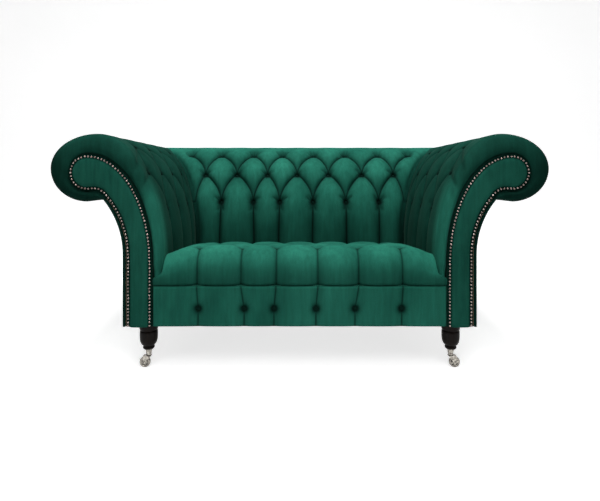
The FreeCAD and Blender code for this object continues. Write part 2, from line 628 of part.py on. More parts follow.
class Pad:
    """Tufted pad between two ends that may lean with the section, such as a mitre."""

    def __init__(self, levels, stations, ends, pitch, origin, place, front_edge=0.0):
        self.levels, self.stations, self.ends, self.place = levels, stations, ends, place
        self.half_pitch, self.origin, self.front_edge = pitch / 2, origin, front_edge

    def column_of(self, run):
        return (run - self.origin) / self.half_pitch

    def is_button(self, level, run):
        column = self.column_of(run)
        if abs(level.row - round(level.row)) > 0.01 or not 1 <= round(level.row) <= ROWS:
            return False
        low, high = (end(level.offset) for end in self.ends)
        columns = button_columns(round(level.row), low, high, self.column_of)
        return any(abs(column - other) < 0.01 for other in columns)

    def end_node(self, level, end):
        offset, height = level.sunk(self.depth(level, 0.0, end(level.offset)))
        return offset, height, end(offset)

    def depth(self, level, fullness, run):
        """How far a point lies under the crown line."""
        depth = size("groove_depth") * (1 - fullness) * level.hold
        inside = run - self.ends[0](level.offset)
        if self.front_edge and inside < self.front_edge:
            turn = 1 - inside / self.front_edge
            depth += self.front_edge * (1 - math.sqrt(max(0.0, 1 - turn * turn))) * level.hold
        return depth

    def node(self, level, run):
        """Point of the pad at a station, or on the pad's end if the station lies past it."""
        low, high = (self.end_node(level, end) for end in self.ends)
        if run <= low[2] + 0.01:
            return low
        if run >= high[2] - 0.01:
            return high
        edge = min(high[2] - run, run - low[2] + self.front_edge * STEPS)
        ease = min(1.0, STEPS * edge / (2 * self.half_pitch)) ** 0.5
        fullness = crown(self.column_of(run), level.row) * ease
        depth = self.depth(level, fullness, run)
        if self.is_button(level, run):
            depth += size("button_sink")
        return level.sunk(depth) + (run,)

    def buttons(self):
        """Foot centre and outward normal of each button."""
        found = []
        for level in self.levels:
            for run in self.stations:
                if self.is_button(level, run):
                    node = self.node(level, run)
                    tip = (node[0] + level.normal[0], node[1] + level.normal[1], node[2])
                    found.append((self.place(*node), self.place(*tip) - self.place(*node)))
        return found

    def solid(self, inner_path):
        """Closed solid: the tufted skin, flat ends, and flat faces round the inner path."""
        grid = [[self.node(level, run) for run in self.stations] for level in self.levels]
        faces = []
        for low_level, low_row, high_row in zip(self.levels, grid, grid[1:]):
            for index in range(len(self.stations) - 1):
                corners = (low_row[index], low_row[index + 1], high_row[index + 1], high_row[index])
                faces += self.cell(corners, self.leans(low_level, self.stations[index]))
        last = [self.place(*node) for node in unique(grid[-1])]
        first = [self.place(*node) for node in unique(grid[0])]
        rails = [tuple(self.place(offset, height, end(offset)) for end in self.ends)
                 for offset, height in inner_path]
        faces.append(polygon_face(last + [rails[0][1], rails[0][0]]))
        faces.append(polygon_face(first + [rails[-1][1], rails[-1][0]]))
        for (near, far), (next_near, next_far) in zip(rails, rails[1:]):
            faces.append(polygon_face([near, far, next_far, next_near]))
        for side, rail_side in ((0, 0), (-1, 1)):
            skin = [self.place(*row[side]) for row in grid]
            faces.append(polygon_face(skin + [rail[rail_side] for rail in rails]))
        return solid_from(faces)

    def leans(self, level, run):
        """Whether the pleat in a cell runs from its first corner to its third."""
        column = math.floor(self.column_of(run) + 0.01)
        row = math.ceil(level.row - 0.01)
        return (column + row) % 2 == 0

    def cell(self, corners, leaning):
        """Two triangles of a cell, split along its pleat."""
        a, b, c, d = corners
        halves = ((a, b, c), (a, c, d)) if leaning else ((a, b, d), (b, c, d))
        return [polygon_face([self.place(*node) for node in half])
                for half in halves if len(unique(half)) == 3]


def unique(nodes):
    """Nodes without repeats of the one before."""
    kept = []
    for node in nodes:
        if not any(math.dist(node, other) < 0.001 for other in kept[-1:] + kept[:1]):
            kept.append(node)
    return kept


def button_prism(foot, normal, radius, top_radius, height):
    """Button or button seat with flats round it, standing on its foot along a normal."""
    sides = round(size("button_sides"))
    top = foot + normal * height
    return frustum([ring_of(foot, normal, radius, sides), ring_of(top, normal, top_radius, sides)])


def button_group(places):
    """Separate solids, one for each button."""
    return Part.makeCompound([button_prism(foot, normal, size("button_radius"), size("button_crown"),
                                           size("button_height")) for foot, normal in places])


def with_seats(solid, places):
    """Pad with a flat-bottomed seat for each button."""
    radius = size("button_radius") + size("button_gap")
    seats = [button_prism(foot, normal, radius, radius, size("seat_room")) for foot, normal in places]
    return solid.cut(Part.makeCompound(seats)) if seats else solid


def scroll_levels():
    """Levels of an arm or of the back, from the seat up over the roll to the crease."""
    lean, rise = size("ridge_offset"), size("ridge_height") - size("shoulder_height")

    def inner(turn, row):
        offset = lean * (1 - math.cos(turn))
        height = size("shoulder_height") + rise * math.sin(turn)
        return Level(offset, height, (-rise * math.cos(turn), lean * math.sin(turn)), row)

    turns = [math.asin((height - size("shoulder_height")) / rise) for height in row_heights]
    levels = [Level(0, size("seam_height"), (-1, 0), ROWS + 2)]
    levels += [inner(turns[2] * step / 2, ROWS + 1 - step / 2) for step in (0, 1)]
    for row in (3, 2):
        start, end = turns[row - 1], turns[row - 2]
        levels += [inner(start + (end - start) * step / STEPS, row - step / STEPS) for step in range(STEPS)]
    levels += [inner(turns[0] + (math.pi / 2 - turns[0]) * step / 3, 1 - step / 3) for step in range(3)]
    across, down = size("scroll_reach") - lean, size("scroll_drop")
    for step in range(STEPS):
        turn = math.pi / 2 * (1 - step / STEPS)
        levels.append(Level(lean + across * math.cos(turn), scroll_height + down * math.sin(turn),
                            (math.cos(turn) / across, math.sin(turn) / down), 0))
    across = size("scroll_reach") - size("roll_foot_offset")
    down = scroll_height - roll_foot_height
    for step in range(STEPS):
        turn = -math.pi / 2 * step / (STEPS - 1)
        levels.append(Level(size("roll_foot_offset") + across * math.cos(turn),
                            scroll_height + down * math.sin(turn),
                            (math.cos(turn) / across, math.sin(turn) / down), 0))
    levels.append(Level(crease_offset, crease_height, (0, -1), 0, hold=0.0))
    return levels


PAD_INNER = [(crease_offset + size("stuffing_lap"), rail_low), (size("top_rail_outer"), rail_low),
             (size("top_rail_outer"), rail_high), (size("top_rail_inner"), rail_high),
             (size("top_rail_inner"), rail_low), (size("pad_thickness"), size("shoulder_height")),
             (size("pad_thickness"), size("seam_height"))]
reach = size("scroll_reach")
pad_clear = size("pad_gap") / 2


def stations_between(low, high, origin, pitch):
    """Places along a pad, an even count to half a pitch, that fall on its rows of buttons."""
    step = pitch / 2 / STEPS
    first, last = math.floor((low - origin) / step), math.ceil((high - origin) / step)
    return [origin + index * step for index in range(first, last + 1)]


back_limit = half_width + reach
back_pad = Pad(scroll_levels(), stations_between(-back_limit, back_limit, 0, size("back_pitch")),
               (lambda offset: -(half_width + offset - pad_clear),
                lambda offset: half_width + offset - pad_clear),
               size("back_pitch"), 0, back_point)
arm_origin = front_y + size("arm_first_button")
edge = size("edge_round")
arm_stations = [base_front_y + depth for depth in (0, size("edge_step"), edge)]
arm_stations += [run for run in stations_between(base_front_y, back_y + reach, arm_origin, size("arm_pitch"))
                 if run > base_front_y + edge + size("least_station")]
arm_pad = Pad(scroll_levels(), arm_stations,
              (lambda offset: base_front_y, lambda offset: back_y + offset - pad_clear),
              size("arm_pitch"), arm_origin, arm_point, front_edge=edge)


def seat_levels():
    """Levels of the seat, from the seam up over the nose and back to the foot of the back."""
    nose, crest, seam = size("nose_height"), size("seat_crown"), size("seam_height")
    first, front = size("seat_first_row"), size("nail_height")
    rear = size("seat_depth") - size("pad_gap")
    slope = (size("seat_rear_height") - crest) / (size("seat_depth") - first)
    levels = [Level(front, seam, (-1, 0), 0), Level(front, (seam + nose) / 2, (-1, 0), 0)]
    for step in range(3):
        turn = math.pi / 2 * step / 3
        levels.append(Level(first - (first - front) * math.cos(turn), nose + (crest - nose) * math.sin(turn),
                            (-math.cos(turn) * (crest - nose), math.sin(turn) * (first - front)), 0))
    for row in range(1, ROWS):
        for step in range(STEPS):
            depth = first + size("seat_row_spacing") * (row - 1 + step / STEPS)
            levels.append(Level(depth, crest + slope * (depth - first), (-slope, 1), row + step / STEPS))
    last = first + size("seat_row_spacing") * (ROWS - 1)
    for step in range(3):
        depth = last + (rear - last) * step / 2
        levels.append(Level(depth, crest + slope * (depth - first), (0, 1), ROWS if step == 0 else ROWS + 1))
    return levels


def seat_point(depth, height, across):
    """Point of the seat; across is an X value."""
    return Vector(across, front_y + depth, height)


seat_end = half_width - size("pad_gap")
seat_pad = Pad(seat_levels(), stations_between(-seat_end, seat_end, 0, size("seat_pitch")),
               (lambda depth: -seat_end, lambda depth: seat_end), size("seat_pitch"), 0, seat_point)
seat_rear = size("seat_depth") - size("pad_gap")
seat_shape = seat_pad.solid([(seat_rear, size("seam_height"))])

for name, pad in (("back", back_pad), ("arm", arm_pad)):
    solid = with_seats(pad.solid(PAD_INNER), pad.buttons())
    label = "back_pad" if name == "back" else "arm_pad_right"
    part = shaped(label, solid)
    buttons = shaped("back_buttons" if name == "back" else "arm_buttons_right", button_group(pad.buttons()))
    if name == "arm":
        mirrored("arm_pad_left", part)
        mirrored("arm_buttons_left", buttons)
shaped("seat_buttons", button_group(seat_pad.buttons()))


def ear_shape(side):
    """Part of the seat's nose that spreads in front of an arm."""
    inner, low = seat_end - size("ear_root"), size("seam_height")
    middle, top = low + size("ear_height") / 2, low + size("ear_height")
    outline = [(inner, low), (seat_end + size("ear_reach"), low),
               (seat_end + size("ear_middle_reach"), middle), (seat_end, top), (inner, middle)]
    back = base_front_y - size("pad_gap") / 2
    face = polygon_face([Vector(side * x, back, z) for x, z in outline])
    return face.extrude(Vector(0, front_y + 2 * size("nail_height") - back, 0))


seat_shape = seat_shape.multiFuse([ear_shape(1), ear_shape(-1)])
shaped("seat_pad", with_seats(seat_shape, seat_pad.buttons()))

# Fluted border under the seat
border_end = half_width + size("facing_inner")
border_back = base_front_y
border_front = front_y + size("nail_height")


def border_shape():
    """Plan of the border, one shallow arc to a flute, carried up to the seam."""
    pitch = size("seat_pitch")
    count = int((border_end - pitch / 2) // pitch)
    pleats = [(index + 0.5) * pitch for index in range(-count - 1, count + 1)]
    stops = [-border_end] + [x for x in pleats if abs(x) < border_end - pitch / 3] + [border_end]
    valley = border_front + size("border_flute")
    edges = []
    for left, right in zip(stops, stops[1:]):
        middle = Vector((left + right) / 2, border_front, 0)
        arc = Part.Arc(Vector(left, valley, 0), middle, Vector(right, valley, 0))
        edges.append(arc.toShape())
    corners = [Vector(border_end, valley, 0), Vector(border_end, border_back, 0),
               Vector(-border_end, border_back, 0), Vector(-border_end, valley, 0)]
    edges += [Part.LineSegment(a, b).toShape() for a, b in zip(corners, corners[1:])]
    face = Part.Face(Part.Wire(edges))
    face.translate(Vector(0, 0, size("underside")))
    return face.extrude(Vector(0, 0, size("seam_height") - size("underside"))), stops[1:-1]


border, flutes = border_shape()
border_feet = [(Vector(x, border_front + size("border_flute") + size("button_height") / 2,
                       size("border_button_height")), Vector(0, -1, 0)) for x in flutes]
shaped("front_border", with_seats(border, border_feet))
shaped("border_buttons", button_group(border_feet))


# Facings and their nails
LEAN_STEPS = 12
SCROLL_STEPS = 14
FILLET_STEPS = 5


def arc_points(centre, radius, start, end, steps):
    """Points along an arc, without its first one."""
    turns = [start + (end - start) * step / steps for step in range(1, steps + 1)]
    return [(centre[0] + radius * math.cos(turn), centre[1] + radius * math.sin(turn)) for turn in turns]


def ellipse_arc(centre, across, up, inset):
    """Quarter of an ellipse from its inner end up to its top, as section points."""
    points = []
    for step in range(LEAN_STEPS + 1):
        turn = math.pi / 2 * step / LEAN_STEPS
        points.append((centre[0] - (across - inset) * math.cos(turn),
                       centre[1] + (up - inset) * math.sin(turn)))
    return points


def circle_meeting(first, first_radius, second, second_radius):
    """Lower crossing of two circles."""
    gap = math.dist(first, second)
    along = (first_radius ** 2 - second_radius ** 2 + gap ** 2) / (2 * gap)
    out = math.sqrt(first_radius ** 2 - along ** 2)
    ux, uy = (second[0] - first[0]) / gap, (second[1] - first[1]) / gap
    crossings = [(first[0] + ux * along - sign * uy * out, first[1] + uy * along + sign * ux * out)
                 for sign in (1, -1)]
    return min(crossings)


def facing_edge(inset):
    """Edge of a facing, or a line inside it, from the seat side over the scroll to the outside.

    On the outside it keeps its gap to the hollow of the outer panel.
    """
    centre = (size("facing_scroll_offset"), size("ridge_height") - size("facing_scroll_drop"))
    radius = size("facing_scroll_radius")
    shoulder = size("facing_shoulder")
    across = centre[0] - size("facing_inner")
    up = centre[1] + radius - shoulder
    points = [(size("facing_inner") + inset, size("underside"))]
    points += ellipse_arc((centre[0], shoulder), across, up, inset)
    hollow = size("panel_curve") + size("panel_thickness") + size("facing_gap")
    outside = size("base_offset") - size("facing_gap")
    hollow_centre = (outside + hollow, size("panel_straight_height"))
    fillet = size("facing_fillet")
    root = circle_meeting(centre, radius + fillet, hollow_centre, hollow - fillet)
    end = math.atan2(root[1] - centre[1], root[0] - centre[0])
    lean = math.atan2(root[1] - hollow_centre[1], root[0] - hollow_centre[0])
    points += arc_points(centre, radius - inset, math.pi / 2, end, SCROLL_STEPS)
    points += arc_points(root, fillet + inset, end + math.pi, lean, FILLET_STEPS)
    points += arc_points(hollow_centre, hollow + inset, lean, math.pi, HOLLOW_STEPS)
    points.append((outside - inset, size("underside")))
    return points


def evenly_spaced(points, pitch):
    """Points at an even spacing near a pitch along a line of points."""
    spans = [math.dist(a, b) for a, b in zip(points, points[1:])]
    total = sum(spans)
    count = round((total - pitch) / pitch)
    places = []
    for index in range(count + 1):
        left = pitch / 2 + (total - pitch) * index / count
        for (a, b), span in zip(zip(points, points[1:]), spans):
            if left <= span:
                places.append((a[0] + (b[0] - a[0]) * left / span, a[1] + (b[1] - a[1]) * left / span))
                break
            left -= span
    return places


facing_back = base_front_y
facing_face = section_face(facing_edge(0), lambda offset, height: arm_point(offset, height, facing_back))
arm_facing = shaped("arm_facing_right", facing_face.extrude(Vector(0, -size("facing_thickness"), 0)))
mirrored("arm_facing_left", arm_facing)


def nail_head(offset, height):
    """Small frustum that stands for a domed head."""
    sides = round(size("nail_sides"))
    foot, top = (arm_point(offset, height, y) for y in (front_y + size("nail_height"), front_y))
    return frustum([ring_of(foot, Vector(0, -1, 0), size("nail_radius"), sides),
                    ring_of(top, Vector(0, -1, 0), size("nail_top_radius"), sides)])


nail_places = evenly_spaced(facing_edge(size("nail_inset")), size("nail_pitch"))
nails = shaped("nail_trim_right", Part.makeCompound([nail_head(*place) for place in nail_places]))
mirrored("nail_trim_left", nails)


# Seat suspension
def spring(x):
    """One zigzag spring: cross runs joined by short links at alternate ends."""
    runs, half, wire = int(size("spring_runs")), size("spring_half_width"), size("wire_size")
    start = base_front_y + (size("rail_thickness") - wire) / 2
    step = (back_y + rail_inner + size("rail_thickness") / 2 - wire / 2 - start) / runs
    bars = []
    for index in range(runs + 1):
        bars.append(Part.makeBox(2 * half, wire, wire, Vector(x - half, start + index * step, rail_top)))
        if index < runs:
            side = half - wire if index % 2 else -half
            link = Vector(x + side, start + index * step, rail_top)
            bars.append(Part.makeBox(wire, step + wire, wire, link))
    return bars[0].multiFuse(bars[1:]).removeSplitter()


spring_lines = [index * size("spring_pitch") for index in range(-spring_count, spring_count + 1)]
springs = [spring(x) for x in spring_lines]
shaped("zigzag_springs", Part.makeCompound(springs))


def spring_clip(x, rail_front, own_spring):
    """Clip over the end bar of a spring, on the middle of a rail."""
    middle = rail_front + size("rail_thickness") / 2
    height = size("wire_size") + size("clip_wall")
    body = Part.makeBox(size("clip_width"), size("clip_length"), height,
                        Vector(x - size("clip_width") / 2, middle - size("clip_length") / 2, rail_top))
    return body.cut(own_spring)


clips = [spring_clip(x, rail_front, own) for x, own in zip(spring_lines, springs)
         for rail_front in (base_front_y, back_y + rail_inner)]
shaped("spring_clips", Part.makeCompound(clips))
deck_x = "(sizes.seat_half_width + sizes.deck_margin)"
block("seat_deck", f"2 * {deck_x}", f"{inner_rear} - {inner_front}", "sizes.deck_thickness",
      f"-{deck_x}", inner_front, f"{RAIL_TOP} + sizes.wire_size")

# Dust cover with holes for the legs
cover_x = "(sizes.seat_half_width + sizes.base_offset - sizes.cover_gap)"
cover_front = f"({BASE_FRONT} + sizes.cover_gap)"
cover_run = f"{BACK_FACE} + sizes.base_offset - sizes.cover_gap - {cover_front}"
cover = block("cover_cloth", f"2 * {cover_x}", cover_run, "sizes.cover_thickness",
              f"-{cover_x}", cover_front, "sizes.underside")
holes = []
for side, row, leg_y in leg_places:
    x = LEG_X if side == "right" else f"-{LEG_X}"
    if row == "front":
        holes.append(round_bar(f"hole_{side}_{row}", "sizes.leg_radius + sizes.pad_gap",
                               "sizes.cover_thickness", x, leg_y, "sizes.underside", "sizes.turning_sides"))
    else:
        width = "(sizes.rear_leg_top + 2 * sizes.pad_gap)"
        holes.append(block(f"hole_{side}_{row}", width, width, "sizes.cover_thickness",
                           f"{x} - {width} / 2", f"{leg_y} - {width} / 2", "sizes.underside"))
cut("dust_cover", cover, joined("cover_holes", holes))

NODES = [
    "front_rail", "rear_rail", "side_rail_left", "side_rail_right", "centre_rail", "corner_blocks",
    "arm_boards_left", "arm_boards_right", "back_boards", "arm_top_rail_left", "arm_top_rail_right",
    "back_top_rail", "arm_tack_rail_left", "arm_tack_rail_right", "back_tack_rail",
    "arm_hessian_left", "arm_hessian_right", "back_hessian", "zigzag_springs", "spring_clips",
    "seat_deck", "seat_pad", "front_border", "arm_pad_left", "arm_pad_right", "back_pad",
    "outer_arm_panel_left", "outer_arm_panel_right", "outer_back_panel",
    "arm_facing_left", "arm_facing_right", "nail_trim_left", "nail_trim_right",
    "back_buttons", "arm_buttons_left", "arm_buttons_right", "seat_buttons", "border_buttons",
    "dust_cover", "leg_bolts", "front_leg_left", "front_leg_right", "rear_leg_left", "rear_leg_right",
    "castor_cup_left", "castor_cup_right", "castor_horn_left", "castor_horn_right",
    "castor_axle_left", "castor_axle_right", "castor_wheel_left", "castor_wheel_right",
]

doc.recompute()
by_label = {item.Label: item for item in doc.Objects}
failed = [item.Label for item in doc.Objects if {"Invalid", "Error"} & set(item.State)]
missing = [name for name in NODES if name not in by_label]
broken = [name for name in NODES if name in by_label
          and (by_label[name].Shape.isNull() or not by_label[name].Shape.isValid())]
if failed or missing or broken:
    raise RuntimeError(f"failed {failed}, missing {missing}, broken {broken}")
os.makedirs("parts", exist_ok=True)
for name in NODES:
    by_label[name].Shape.exportStep(f"parts/{name}.step")
print(f"{len(NODES)} pieces written")
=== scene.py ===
import math

import bmesh
import bpy
import numpy as np
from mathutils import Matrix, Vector


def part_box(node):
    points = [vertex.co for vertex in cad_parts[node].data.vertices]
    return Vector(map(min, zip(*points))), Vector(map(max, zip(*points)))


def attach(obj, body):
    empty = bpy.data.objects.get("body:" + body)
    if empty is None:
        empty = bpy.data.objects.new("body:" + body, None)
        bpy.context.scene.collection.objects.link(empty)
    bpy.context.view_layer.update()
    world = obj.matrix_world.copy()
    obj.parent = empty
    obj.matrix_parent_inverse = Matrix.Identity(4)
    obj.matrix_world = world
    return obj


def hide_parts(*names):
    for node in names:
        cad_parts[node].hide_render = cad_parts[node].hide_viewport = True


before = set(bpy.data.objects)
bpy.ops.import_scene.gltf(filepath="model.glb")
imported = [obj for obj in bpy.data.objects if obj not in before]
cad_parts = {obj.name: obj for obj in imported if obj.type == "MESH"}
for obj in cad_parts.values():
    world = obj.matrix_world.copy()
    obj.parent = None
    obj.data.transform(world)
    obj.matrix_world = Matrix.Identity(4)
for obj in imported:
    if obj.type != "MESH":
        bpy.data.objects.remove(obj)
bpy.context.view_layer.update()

# Places that the frame gives, in metres
HALF_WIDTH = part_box("arm_pad_right")[0].x
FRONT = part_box("nail_trim_right")[0].y
NAIL_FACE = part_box("nail_trim_right")[1].y
FACING_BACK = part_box("arm_facing_right")[1].y
BACK_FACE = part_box("back_pad")[0].y
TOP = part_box("back_pad")[1].z
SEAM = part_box("front_border")[1].z
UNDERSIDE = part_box("front_border")[0].z
BORDER_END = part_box("front_border")[1].x
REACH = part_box("arm_pad_right")[1].x - HALF_WIDTH
FACING_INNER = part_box("arm_facing_right")[0].x - HALF_WIDTH
FACING_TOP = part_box("arm_facing_right")[1].z
BASE_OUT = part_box("side_rail_right")[1].x - HALF_WIDTH
SEAT_REAR_GAP = BACK_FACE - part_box("seat_pad")[1].y

# Section of the arms and the back, as offset from the inner face and height
SHOULDER = 0.402
RIDGE_OUT = 0.240
SCROLL_HEIGHT = 0.743
ROLL_FOOT = (0.280, 0.621)
CREASE = (0.215, 0.632)
PANEL_RADIUS = 0.316
PANEL_STRAIGHT = 0.430
PANEL_THICKNESS = 0.008
FACING_SHOULDER = 0.400
SCROLL_CENTRE = (0.272, 0.727)
PAD_INNER = ((0.225, 0.702), (0.300, 0.702), (0.300, 0.752), (0.192, 0.752), (0.192, 0.702),
             (0.056, SHOULDER), (0.056, SEAM))

# Cloth stands proud of the solid at the outermost line of the roll
PROUD = 0.012
STEP = 0.0026
QUARTER = math.pi / 2
SIDES = ("right", "left")
rng = np.random.default_rng(7)


def new_object(name, data):
    """Object with its data, linked into the scene."""
    obj = bpy.data.objects.new(name, data)
    bpy.context.scene.collection.objects.link(obj)
    return obj


# Camera
PHOTO_WIDTH, PHOTO_HEIGHT = 600, 501
FOCAL_PIXELS = 443.6
HORIZON_PIXEL = 177.0
CENTRE_PIXEL = 299.7
CAMERA_DISTANCE = 1.600
CAMERA_HEIGHT = 0.711


def add_camera():
    """Camera of the photograph: level, straight in front, with the frame shifted down."""
    data = bpy.data.cameras.new("camera")
    data.sensor_width = 36.0
    data.lens = FOCAL_PIXELS * data.sensor_width / PHOTO_WIDTH
    data.shift_y = (HORIZON_PIXEL - PHOTO_HEIGHT / 2) / PHOTO_WIDTH
    data.shift_x = (PHOTO_WIDTH / 2 - CENTRE_PIXEL) / PHOTO_WIDTH
    camera = new_object("camera", data)
    camera.location = (0, FRONT - CAMERA_DISTANCE, CAMERA_HEIGHT)
    camera.rotation_euler = (math.radians(90), 0, 0)
    bpy.context.scene.camera = camera


add_camera()


# Node helpers
def new_material(name):
    """Material with its nodes, links and principled shader."""
    material = bpy.data.materials.new(name)
    material.use_nodes = True
    tree = material.node_tree
    return material, tree, tree.nodes["Principled BSDF"]


def adjust(node, **settings):
    """Set a node's attributes, or its inputs named with underscores."""
    for name, value in settings.items():
        if hasattr(node, name):
            setattr(node, name, value)
        else:
            node.inputs[name.replace("_", " ")].default_value = value
    return node


def add_node(tree, kind, **settings):
    """New node, adjusted."""
    return adjust(tree.nodes.new(kind), **settings)


def noise(tree, scale, detail=3.0, stretch=(1, 1, 1), rough=0.5):
    """Noise over object coordinates, stretched along an axis where asked."""
    place = add_node(tree, "ShaderNodeTexCoord")
    mapping = add_node(tree, "ShaderNodeMapping", Scale=stretch)
    texture = add_node(tree, "ShaderNodeTexNoise", Scale=scale, Detail=detail, Roughness=rough)
    tree.links.new(place.outputs["Object"], mapping.inputs["Vector"])
    tree.links.new(mapping.outputs["Vector"], texture.inputs["Vector"])
    return texture.outputs["Fac"]


def ramp(tree, value, stops):
    """Colour ramp from (place, colour) stops."""
    node = tree.nodes.new("ShaderNodeValToRGB")
    elements = node.color_ramp.elements
    for index, (place, colour) in enumerate(stops):
        element = elements[index] if index < 2 else elements.new(place)
        element.position = place
        element.color = tuple(colour) + (1.0,)
    tree.links.new(value, node.inputs["Fac"])
    return node.outputs["Color"]


def multiplied(tree, first, second):
    """Product of two colours."""
    node = add_node(tree, "ShaderNodeMix", data_type="RGBA", blend_type="MULTIPLY")
    node.inputs[0].default_value = 1.0
    tree.links.new(first, node.inputs[6])
    tree.links.new(second, node.inputs[7])
    return node.outputs[2]


def bump(tree, shader, heights):
    """Chain of bumps on a shader from (height, strength, distance)."""
    last = None
    for height, strength, distance in heights:
        node = add_node(tree, "ShaderNodeBump", Strength=strength, Distance=distance)
        tree.links.new(height, node.inputs["Height"])
        if last:
            tree.links.new(last, node.inputs["Normal"])
        last = node.outputs["Normal"]
    tree.links.new(last, shader.inputs["Normal"])


# Colour that painted shade darkens the velvet towards, in folds, pits and other shaded places
PAINTED_SHADE_TONE = (0.03, 0.04, 0.04)


def velvet(name, dark, light, sheen):
    """Short-pile velvet: brushed patches, fine streaks along the pile, a soft sheen, and painted shade read
    from a point attribute.
    """
    material, tree, shader = new_material(name)
    patches = noise(tree, 5.0, detail=4.0, stretch=(1, 1, 0.55), rough=0.6)
    streaks = noise(tree, 60.0, stretch=(1, 1, 0.10), rough=0.6)
    pile = noise(tree, 700.0, detail=2.0, rough=0.7)
    # Point attribute of painted shade, set on the padding pieces
    painted_shade = add_node(tree, "ShaderNodeAttribute", attribute_name="painted_shade").outputs["Fac"]
    colour = ramp(tree, patches, ((0.30, dark), (0.70, light)))
    for value, stops in ((streaks, ((0.25, (0.80,) * 3), (0.75, (1.16,) * 3))),
                         (pile, ((0.25, (0.82,) * 3), (0.75, (1.15,) * 3))),
                         (painted_shade, ((0.0, (1.0,) * 3), (1.0, PAINTED_SHADE_TONE)))):
        colour = multiplied(tree, colour, ramp(tree, value, stops))
    tree.links.new(colour, shader.inputs["Base Color"])
    adjust(shader, Roughness=0.90, Specular_IOR_Level=0.02, Sheen_Weight=sheen, Sheen_Roughness=0.35,
           Sheen_Tint=(0.35, 0.85, 0.62, 1.0))
    bump(tree, shader, ((patches, 0.25, 0.003), (pile, 0.35, 0.0006)))
    return material


def mottled(name, dark, light, grain, places=(0.3, 0.7), relief=(0.3, 0.0006), wear=0.0, **settings):
    """Material whose tone and surface follow one noise, and its gloss too where it is worn."""
    material, tree, shader = new_material(name)
    pattern = noise(tree, **grain)
    tree.links.new(ramp(tree, pattern, tuple(zip(places, (dark, light)))), shader.inputs["Base Color"])
    adjust(shader, **settings)
    if wear:
        rough = settings["Roughness"]
        gloss = ramp(tree, pattern, ((0.3, (rough + wear,) * 3), (0.7, (rough,) * 3)))
        tree.links.new(gloss, shader.inputs["Roughness"])
    bump(tree, shader, ((pattern, *relief),))
    return material


def metal(name, colour, dark, rough, wear_scale):
    """Aged metal with uneven tone and gloss."""
    return mottled(name, dark, colour, {"scale": wear_scale, "detail": 4.0}, (0.35, 0.65), (0.15, 0.0004),
                   wear=0.15, Roughness=rough, Metallic=1.0)


VELVET = velvet("velvet", (0.008, 0.078, 0.054), (0.017, 0.135, 0.094), 0.02)
# Near-black copy of the velvet for the covered buttons: painted shade of their pits
SHADED_BUTTON_VELVET = velvet("button_velvet", (0.001, 0.007, 0.005), (0.002, 0.013, 0.009), 0.01)


# Mesh helpers
WELD = 1e-5


def mesh_object(name, points, quads, caps, material, body="sofa", painted_shade=None):
    """Smooth object from points, quads and many-sided caps, welded; the optional last argument is each point's
    painted shade.
    """
    points, quads = np.asarray(points, np.float32), np.asarray(quads, np.int32).reshape(-1, 4)
    corners = np.concatenate([quads.ravel(), *(np.asarray(cap, np.int32) for cap in caps)])
    sizes = np.concatenate([np.full(len(quads), 4), [len(cap) for cap in caps]]).astype(np.int32)
    mesh = bpy.data.meshes.new(name)
    mesh.vertices.add(len(points))
    mesh.vertices.foreach_set("co", points.ravel())
    mesh.loops.add(len(corners))
    mesh.loops.foreach_set("vertex_index", corners)
    mesh.polygons.add(len(sizes))
    mesh.polygons.foreach_set("loop_start", np.concatenate([[0], np.cumsum(sizes)[:-1]]).astype(np.int32))
    mesh.update(calc_edges=True)
    if painted_shade is not None:
        layer = mesh.attributes.new("painted_shade", "FLOAT", "POINT")
        layer.data.foreach_set("value", np.asarray(painted_shade, np.float32).ravel())
    work = bmesh.new()
    work.from_mesh(mesh)
    bmesh.ops.remove_doubles(work, verts=work.verts, dist=WELD)
    bmesh.ops.dissolve_degenerate(work, edges=work.edges, dist=WELD / 10)
    bmesh.ops.recalc_face_normals(work, faces=work.faces)
    work.to_mesh(mesh)
    work.free()
    mesh.polygons.foreach_set("use_smooth", [True] * len(mesh.polygons))
    mesh.materials.append(material)
    obj = new_object(name, mesh)
    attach(obj, body)
    return obj


def skin(name, grid, painted_shade):
    """Closed velvet piece from a grid whose first direction goes once round it; its ends are capped."""
    rows, columns = grid.shape[:2]
    index = np.arange(rows * columns).reshape(rows, columns)
    after = np.roll(index, -1, axis=0)
    quads = np.stack([index[:, :-1], index[:, 1:], after[:, 1:], after[:, :-1]], -1)
    caps = [index[::-1, 0], index[:, -1]]
    return mesh_object(name, grid.reshape(-1, 3), quads, caps, VELVET, painted_shade=painted_shade)


def mirrored(grid):
    """Grid of the left-hand piece."""
    return grid * np.array([-1, 1, 1])


def ease(value, low, high):
    """Smooth step from 0 at low to 1 at high."""
    share = np.clip((np.asarray(value, float) - low) / (high - low), 0, 1)
    return share * share * (3 - 2 * share)


def islands(node):
    """Separate solids of a CAD node in a fixed order, each as an array of its corner points."""
    work = bmesh.new()
    work.from_mesh(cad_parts[node].data)
    bmesh.ops.remove_doubles(work, verts=work.verts, dist=WELD)
    seen, found = set(), []
    for start in work.verts:
        if start in seen:
            continue
        seen.add(start)
        stack, group = [start], []
        while stack:
            vertex = stack.pop()
            group.append(vertex.co.copy())
            for edge in vertex.link_edges:
                other = edge.other_vert(vertex)
                if other not in seen:
                    seen.add(other)
                    stack.append(other)
        found.append(np.array(group))
    work.free()
    return found


def button_places(node):
    """Foot centre and outward direction of each covered button."""
    places = []
    for points in islands(node):
        centre = points.mean(0)
        spread = np.linalg.norm(points - centre, axis=1)
        top = points[spread < spread.mean()].mean(0)
        foot = points[spread >= spread.mean()].mean(0)
        direction = (top - foot) / np.linalg.norm(top - foot)
        places.append((foot, direction))
    return places


# Lines of points, each an offset and a height
def joined(*pieces):
    """One line from pieces that meet at their ends."""
    return np.concatenate([pieces[0], *(piece[1:] for piece in pieces[1:])])


